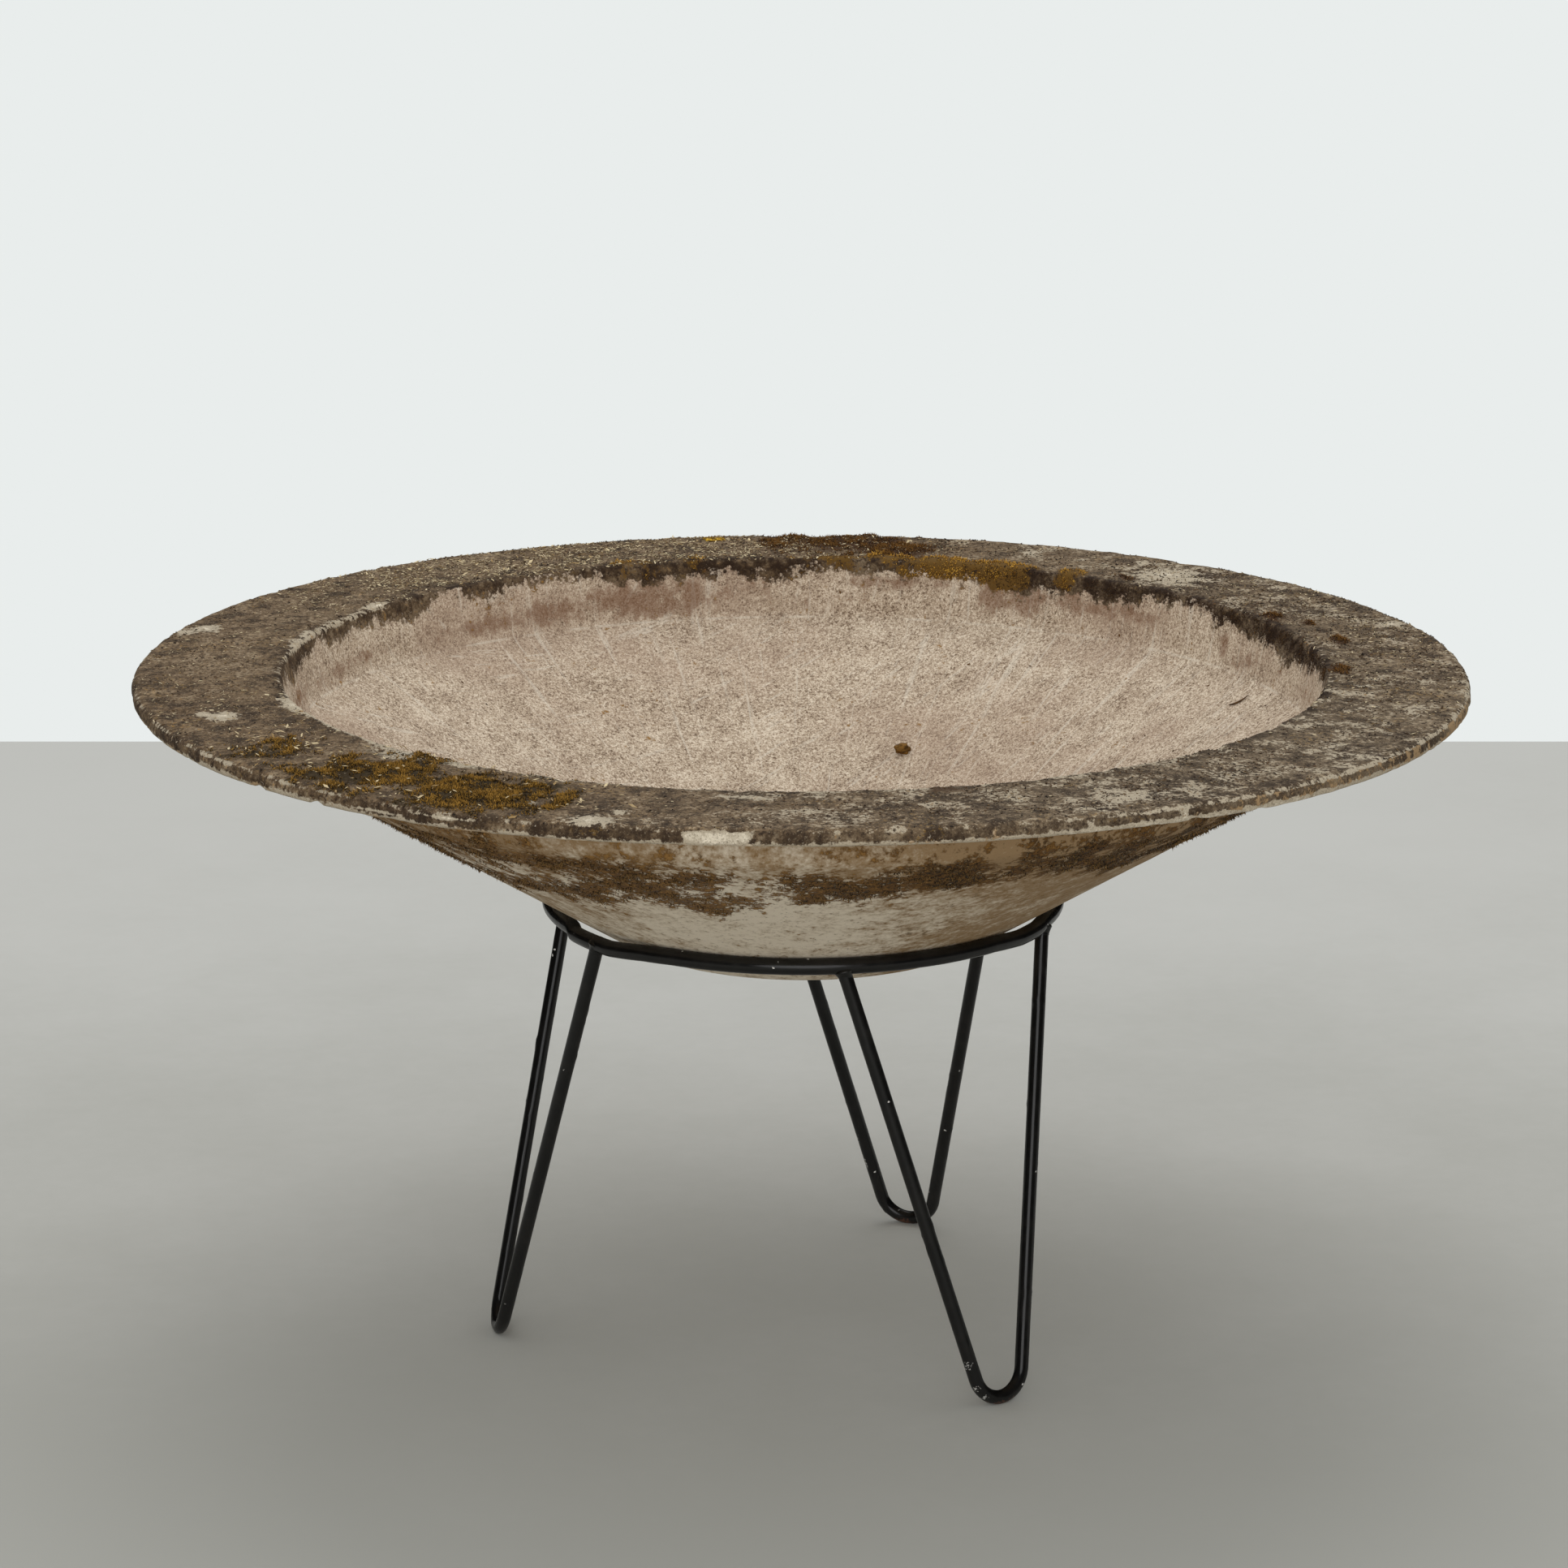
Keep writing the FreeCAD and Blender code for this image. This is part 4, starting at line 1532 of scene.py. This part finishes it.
@dataclass
class Stand:
    """Welded stand: a hoop of round bar on three hairpin legs of thinner bar.

    Attributes:
        hoop_radius: Radius of the hoop's middle line.
        hoop_height: Height of that line.
    """

    hoop_radius: float
    hoop_height: float
    bar_radius: float = 6 * MM
    rod_radius: float = 5 * MM
    leg_angles: dict[str, float] = field(
        default_factory=lambda: {"leg_front": -60.0, "leg_back": 60.0, "leg_left": 180.0}
    )
    leg_spread: float = math.radians(30)
    foot_radius: float = 238 * MM
    foot_bend: float = 23 * MM
    foot_flat: float = 0.4 * MM
    seam_angle: float = 120.0
    seam_side: float = math.radians(-25)
    seam_height: float = 1.3 * MM
    seam_reach: float = 3 * MM
    paint: float = 0.25 * MM
    wear_height: float = 14 * MM
    weld_reach: float = 10 * MM
    weld_flare: float = 2.4 * MM
    weld_tip: float = 1.0 * MM
    hoop_dip: Stations = (
        (198.6, 0), (199.8, 4.0), (214, 4.4), (224, 1.2), (232, 0), (308, 0), (318, 2.4), (326, 2.2),
        (331, 0),
    )
    scuffs: dict[str, tuple[tuple[float, float], ...]] = field(
        default_factory=lambda: {
            "leg_front": ((0.395, 0.008), (0.425, 0.01), (0.45, 0.008)),
            "leg_back": ((0.63, 0.01), (0.66, 0.012)),
            "leg_left": ((0.485, 0.02), (0.515, 0.02)),
        }
    )
    scuff_centre: float = 0.06
    sides: int = 24
    hoop_cells: int = 420
    bend_cells: int = 40
    rod_cells: int = 90

    @classmethod
    def from_frame(cls) -> Stand:
        """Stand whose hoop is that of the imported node."""
        low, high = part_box("hoop")
        bar = (high.z - low.z) / 2
        return cls(hoop_radius=high.x - bar, hoop_height=high.z - bar, bar_radius=bar)

    def build(self) -> None:
        """Makes the hoop, the legs and their welds, all in one finish."""
        finish = BrushedBlack().material()
        put_piece("hoop_bar", self.hoop(), finish, Body.STAND, ("hoop", "hoop_seam_weld"))
        for name, angle in self.leg_angles.items():
            put_piece(name + "_rod", self.leg(name, angle), finish, Body.STAND, (name,))
            for letter, side in (("a", -1), ("b", 1)):
                node = name + "_weld_" + letter
                put_piece(node + "_bead", self.weld(angle, side), finish, Body.STAND, (node,))

    def hoop(self) -> Surface:
        """Hoop: a circle of bar whose radius wavers with the paint, with a bead at the seam.

        A point is the middle circle plus the bar's radius along a turning arm. The seam's bead adds a
        bell curve along the bar, on the side that is turned away from the bowl.
        """
        count = self.hoop_cells
        angle, turn = np.meshgrid(
            np.arange(count) / count * FULL_TURN, np.arange(self.sides) / self.sides * math.tau, indexing="ij"
        )
        around = np.radians(angle)
        out = np.stack([np.cos(around), np.sin(around), np.zeros_like(around)], axis=-1)
        arm = np.cos(turn)[..., None] * out + np.sin(turn)[..., None] * UP
        middle = out * self.hoop_radius + UP * self.hoop_height
        plain = (middle + arm * self.bar_radius).reshape(-1, 3)
        from_seam = np.radians(angle - self.seam_angle).ravel() * self.hoop_radius
        outer_side = np.clip(np.cos(turn - self.seam_side).ravel(), 0, 1)
        bead = self.seam_height * np.exp(-((from_seam / self.seam_reach) ** 2)) * outer_side
        plain[:, 2] -= round_line(angle.ravel(), self.hoop_dip) * MM
        waver = (fractal(plain, 70, 2, 301) + 0.3) * self.paint
        points = plain + arm.reshape(-1, 3) * (bead + waver)[:, None]
        faces = joined_grid(count, self.sides, close_rows=True)[:, ::-1]
        return Surface(points, faces, {"wear": np.zeros(len(points))})

    def _leg_frame(self, angle: float) -> tuple[Array, Array, Array, Array]:
        """Top middle, foot, direction up the leg's plane and direction across it, for a leg at an angle."""
        turn = math.radians(angle)
        out = np.array((math.cos(turn), math.sin(turn), 0.0))
        across = np.array((-math.sin(turn), math.cos(turn), 0.0))
        top = out * self.hoop_radius * math.cos(self.leg_spread) + UP * self.hoop_height
        foot = out * self.foot_radius + UP * (self.rod_radius - self.foot_flat)
        return top, foot, unit(top - foot), across

    def hairpin(self, angle: float) -> Array:
        """Middle line of a leg: a straight rod, a bend that both rods are tangent to, and a straight rod."""
        top, foot, rise, across = self._leg_frame(angle)
        half = self.hoop_radius * math.sin(self.leg_spread)
        bend_height = np.linalg.norm(top - foot) - self.foot_bend
        reach = math.hypot(half, bend_height)
        opening = math.acos(self.foot_bend / reach) - math.atan2(bend_height, half)
        centre = foot + rise * self.foot_bend
        sweep = np.linspace(-math.pi / 2 + opening, math.pi / 2 - opening, self.bend_cells)[:, None]
        bend = centre + (np.sin(sweep) * across - np.cos(sweep) * rise) * self.foot_bend
        part = np.linspace(0, 1, self.rod_cells, endpoint=False)[:, None]
        down = (top - across * half) * (1 - part) + bend[0] * part
        up = bend[-1] * part[::-1] + (top + across * half) * (1 - part[::-1])
        return np.concatenate([down, bend, up])

    def leg(self, name: str, angle: float) -> Surface:
        """Leg: the hairpin's tube, with wavering paint and scuffs, worn flat where it stands on the floor."""
        line = self.hairpin(angle)
        _, foot, rise, across = self._leg_frame(angle)
        thickness = np.full((len(line), self.sides), self.rod_radius)
        surface = tube(line, np.cross(rise, across), thickness)
        waver = (fractal(surface.points, 90, 2, 311) + 1.0) * 0.03
        runs = np.clip(fractal(surface.points, 120, 2, 317) - 0.74, 0, 1) * 0.9
        thickened(surface, line, waver + runs)
        surface.points[:, 2] = np.maximum(surface.points[:, 2], 0.0)
        surface.values["wear"] = np.clip(1 - surface.points[:, 2] / self.wear_height, 0, 1) * 0.75
        share = np.append(np.repeat(np.linspace(0, 1, len(line)), self.sides), (0.0, 1.0))
        middle = tube_middle(line, self.sides)
        away = unit(middle - foot - rise * self.scuff_centre)
        outer = np.clip(0.5 + np.sum((surface.points - middle) * away, axis=1) / self.rod_radius, 0, 1)
        marks = sum(np.exp(-(((share - at) / reach) ** 2)) for at, reach in self.scuffs[name])
        surface.values["scuff"] = marks * outer
        return surface

    def weld(self, angle: float, side: int) -> Surface:
        """Weld bead: a collar round a rod's top that flares towards the hoop, with ripples and lumps.

        The collar's radius grows with the square of the way from its lower end to the hoop.
        """
        line = self.hairpin(angle)
        ends = line[::-1] if side > 0 else line
        direction = unit(ends[0] - ends[1])
        part = np.linspace(0, 1, 22)[:, None]
        middle = ends[0] - direction * self.weld_reach * (1 - part)
        flare = self.rod_radius + self.paint + self.weld_flare * np.clip((part - 0.1) / 0.55, 0, 1) ** 2
        close = np.sqrt(np.clip(1 - np.clip((part - 0.55) / 0.45, 0, 1) ** 2, 0.02, 1))
        thickness = np.maximum(flare * close, self.weld_tip) * np.ones((1, self.sides))
        surface = tube(middle, np.array((0.3, 0.2, 0.1)), thickness)
        thickened(surface, middle, (fractal(surface.points, 200, 2, 331) - 0.45) * 0.24)
        surface.values["wear"] = np.zeros(len(surface.points))
        return surface


@dataclass(frozen=True)
class Lamp:
    """Round soft light.

    Attributes:
        name: Its name.
        ahead: Its distance past the planter, as the camera looks.
        height: Its height above the floor.
        size: Its diameter.
        power: Its power in watts.
    """

    name: str
    ahead: float
    height: float
    size: float
    power: float


@dataclass(frozen=True)
class Studio:
    """Pale floor, soft light and the camera, which stands where the photograph was taken from."""

    camera_place: Triple = (-0.5523, -3.6957, 1.3679)
    heading: float = 81.723
    pitch: float = 14.127
    lens: float = 116.48
    backdrop: Colour = srgb(233, 237, 236)
    # Floor colours at the front and at the back: the darker front is painted shade, a falloff of light
    # towards the camera.
    floor_near_shaded: Colour = srgb(169, 167, 161)
    floor_far_lit: Colour = srgb(189, 187, 183)
    floor_back: float = 1.897
    floor_front: float = 4.5
    floor_side: float = 4.5
    lamps: tuple[Lamp, ...] = (
        Lamp("skylight", 1.5, 3.6, 3.0, 42),
        Lamp("front_fill", -4.2, 1.3, 3.0, 52),
    )
    lamp_target: Triple = (0, 0, 0.4)

    def build(self) -> None:
        """Makes the floor, the lights and the camera."""
        self._floor()
        self._light()
        self._camera()

    def _floor(self) -> None:
        """Square floor, turned to the camera's heading, whose back edge is the horizon, darker towards the
        front as a painted falloff of light.
        """
        ahead = np.array((math.cos(math.radians(self.heading)), math.sin(math.radians(self.heading)), 0.0))
        right = np.array((ahead[1], -ahead[0], 0.0))
        depth = np.array((-self.floor_front, -self.floor_front, self.floor_back, self.floor_back))[:, None]
        width = np.array((-1.0, 1.0, 1.0, -1.0))[:, None] * self.floor_side
        # The value far runs from 0 at the front edge to 1 at the back edge and carries the painted falloff of
        # light.
        far = {"far": np.array((0.0, 0.0, 1.0, 1.0))}
        mesh = Surface(ahead * depth + right * width, np.array([(0, 1, 2, 3)]), far).mesh("floor")
        make = Shader("pale_floor")
        wide, fine = make.noise(2.2, 5, 0.62), make.noise(60, 3, 0.6)
        # Painted falloff of light: the floor darkens towards the front, with faint noise clouds over it.
        clouds = make.sum((make.number("far"), 1), (wide, 0.3), (fine, 0.06))
        colour = make.lay(self.floor_near_shaded, self.floor_far_lit, clouds, 0.8, 1.16)
        mesh.materials.append(make.finish(colour, 0.75, 0.2))
        floor = bpy.data.objects.new("floor", mesh)
        bpy.context.scene.collection.objects.link(floor)

    def _light(self) -> None:
        """White surroundings, a large soft light above and behind, and a soft fill from the front."""
        world = bpy.data.worlds.new("studio")
        bpy.context.scene.world = world
        world.use_nodes = True
        world.node_tree.nodes["Background"].inputs["Color"].default_value = self.backdrop
        world.cycles_visibility.glossy = False
        ahead = math.radians(self.heading)
        for lamp in self.lamps:
            light = bpy.data.lights.new(lamp.name, "AREA")
            light.shape = "DISK"
            light.size = lamp.size
            light.energy = lamp.power
            holder = bpy.data.objects.new(lamp.name, light)
            holder.location = (lamp.ahead * math.cos(ahead), lamp.ahead * math.sin(ahead), lamp.height)
            aim = Vector(self.lamp_target) - holder.location
            holder.rotation_euler = aim.to_track_quat("-Z", "Y").to_euler()
            holder.visible_camera = False
            bpy.context.scene.collection.objects.link(holder)

    def _camera(self) -> None:
        """Camera with the photograph's lens, and plain screen colours."""
        data = bpy.data.cameras.new("camera")
        data.lens = self.lens
        camera = bpy.data.objects.new("camera", data)
        camera.location = self.camera_place
        camera.rotation_euler = (math.radians(90 - self.pitch), 0, math.radians(self.heading - 90))
        bpy.context.scene.collection.objects.link(camera)
        bpy.context.scene.camera = camera
        bpy.context.scene.view_settings.view_transform = "Standard"


def main() -> None:
    """Builds the bowl, the stand and the studio."""
    logging.basicConfig(level=logging.INFO, format="%(name)s %(message)s")
    Bowl.from_frame().build()
    Stand.from_frame().build()
    Studio().build()


if __name__ == "__main__":
    main()
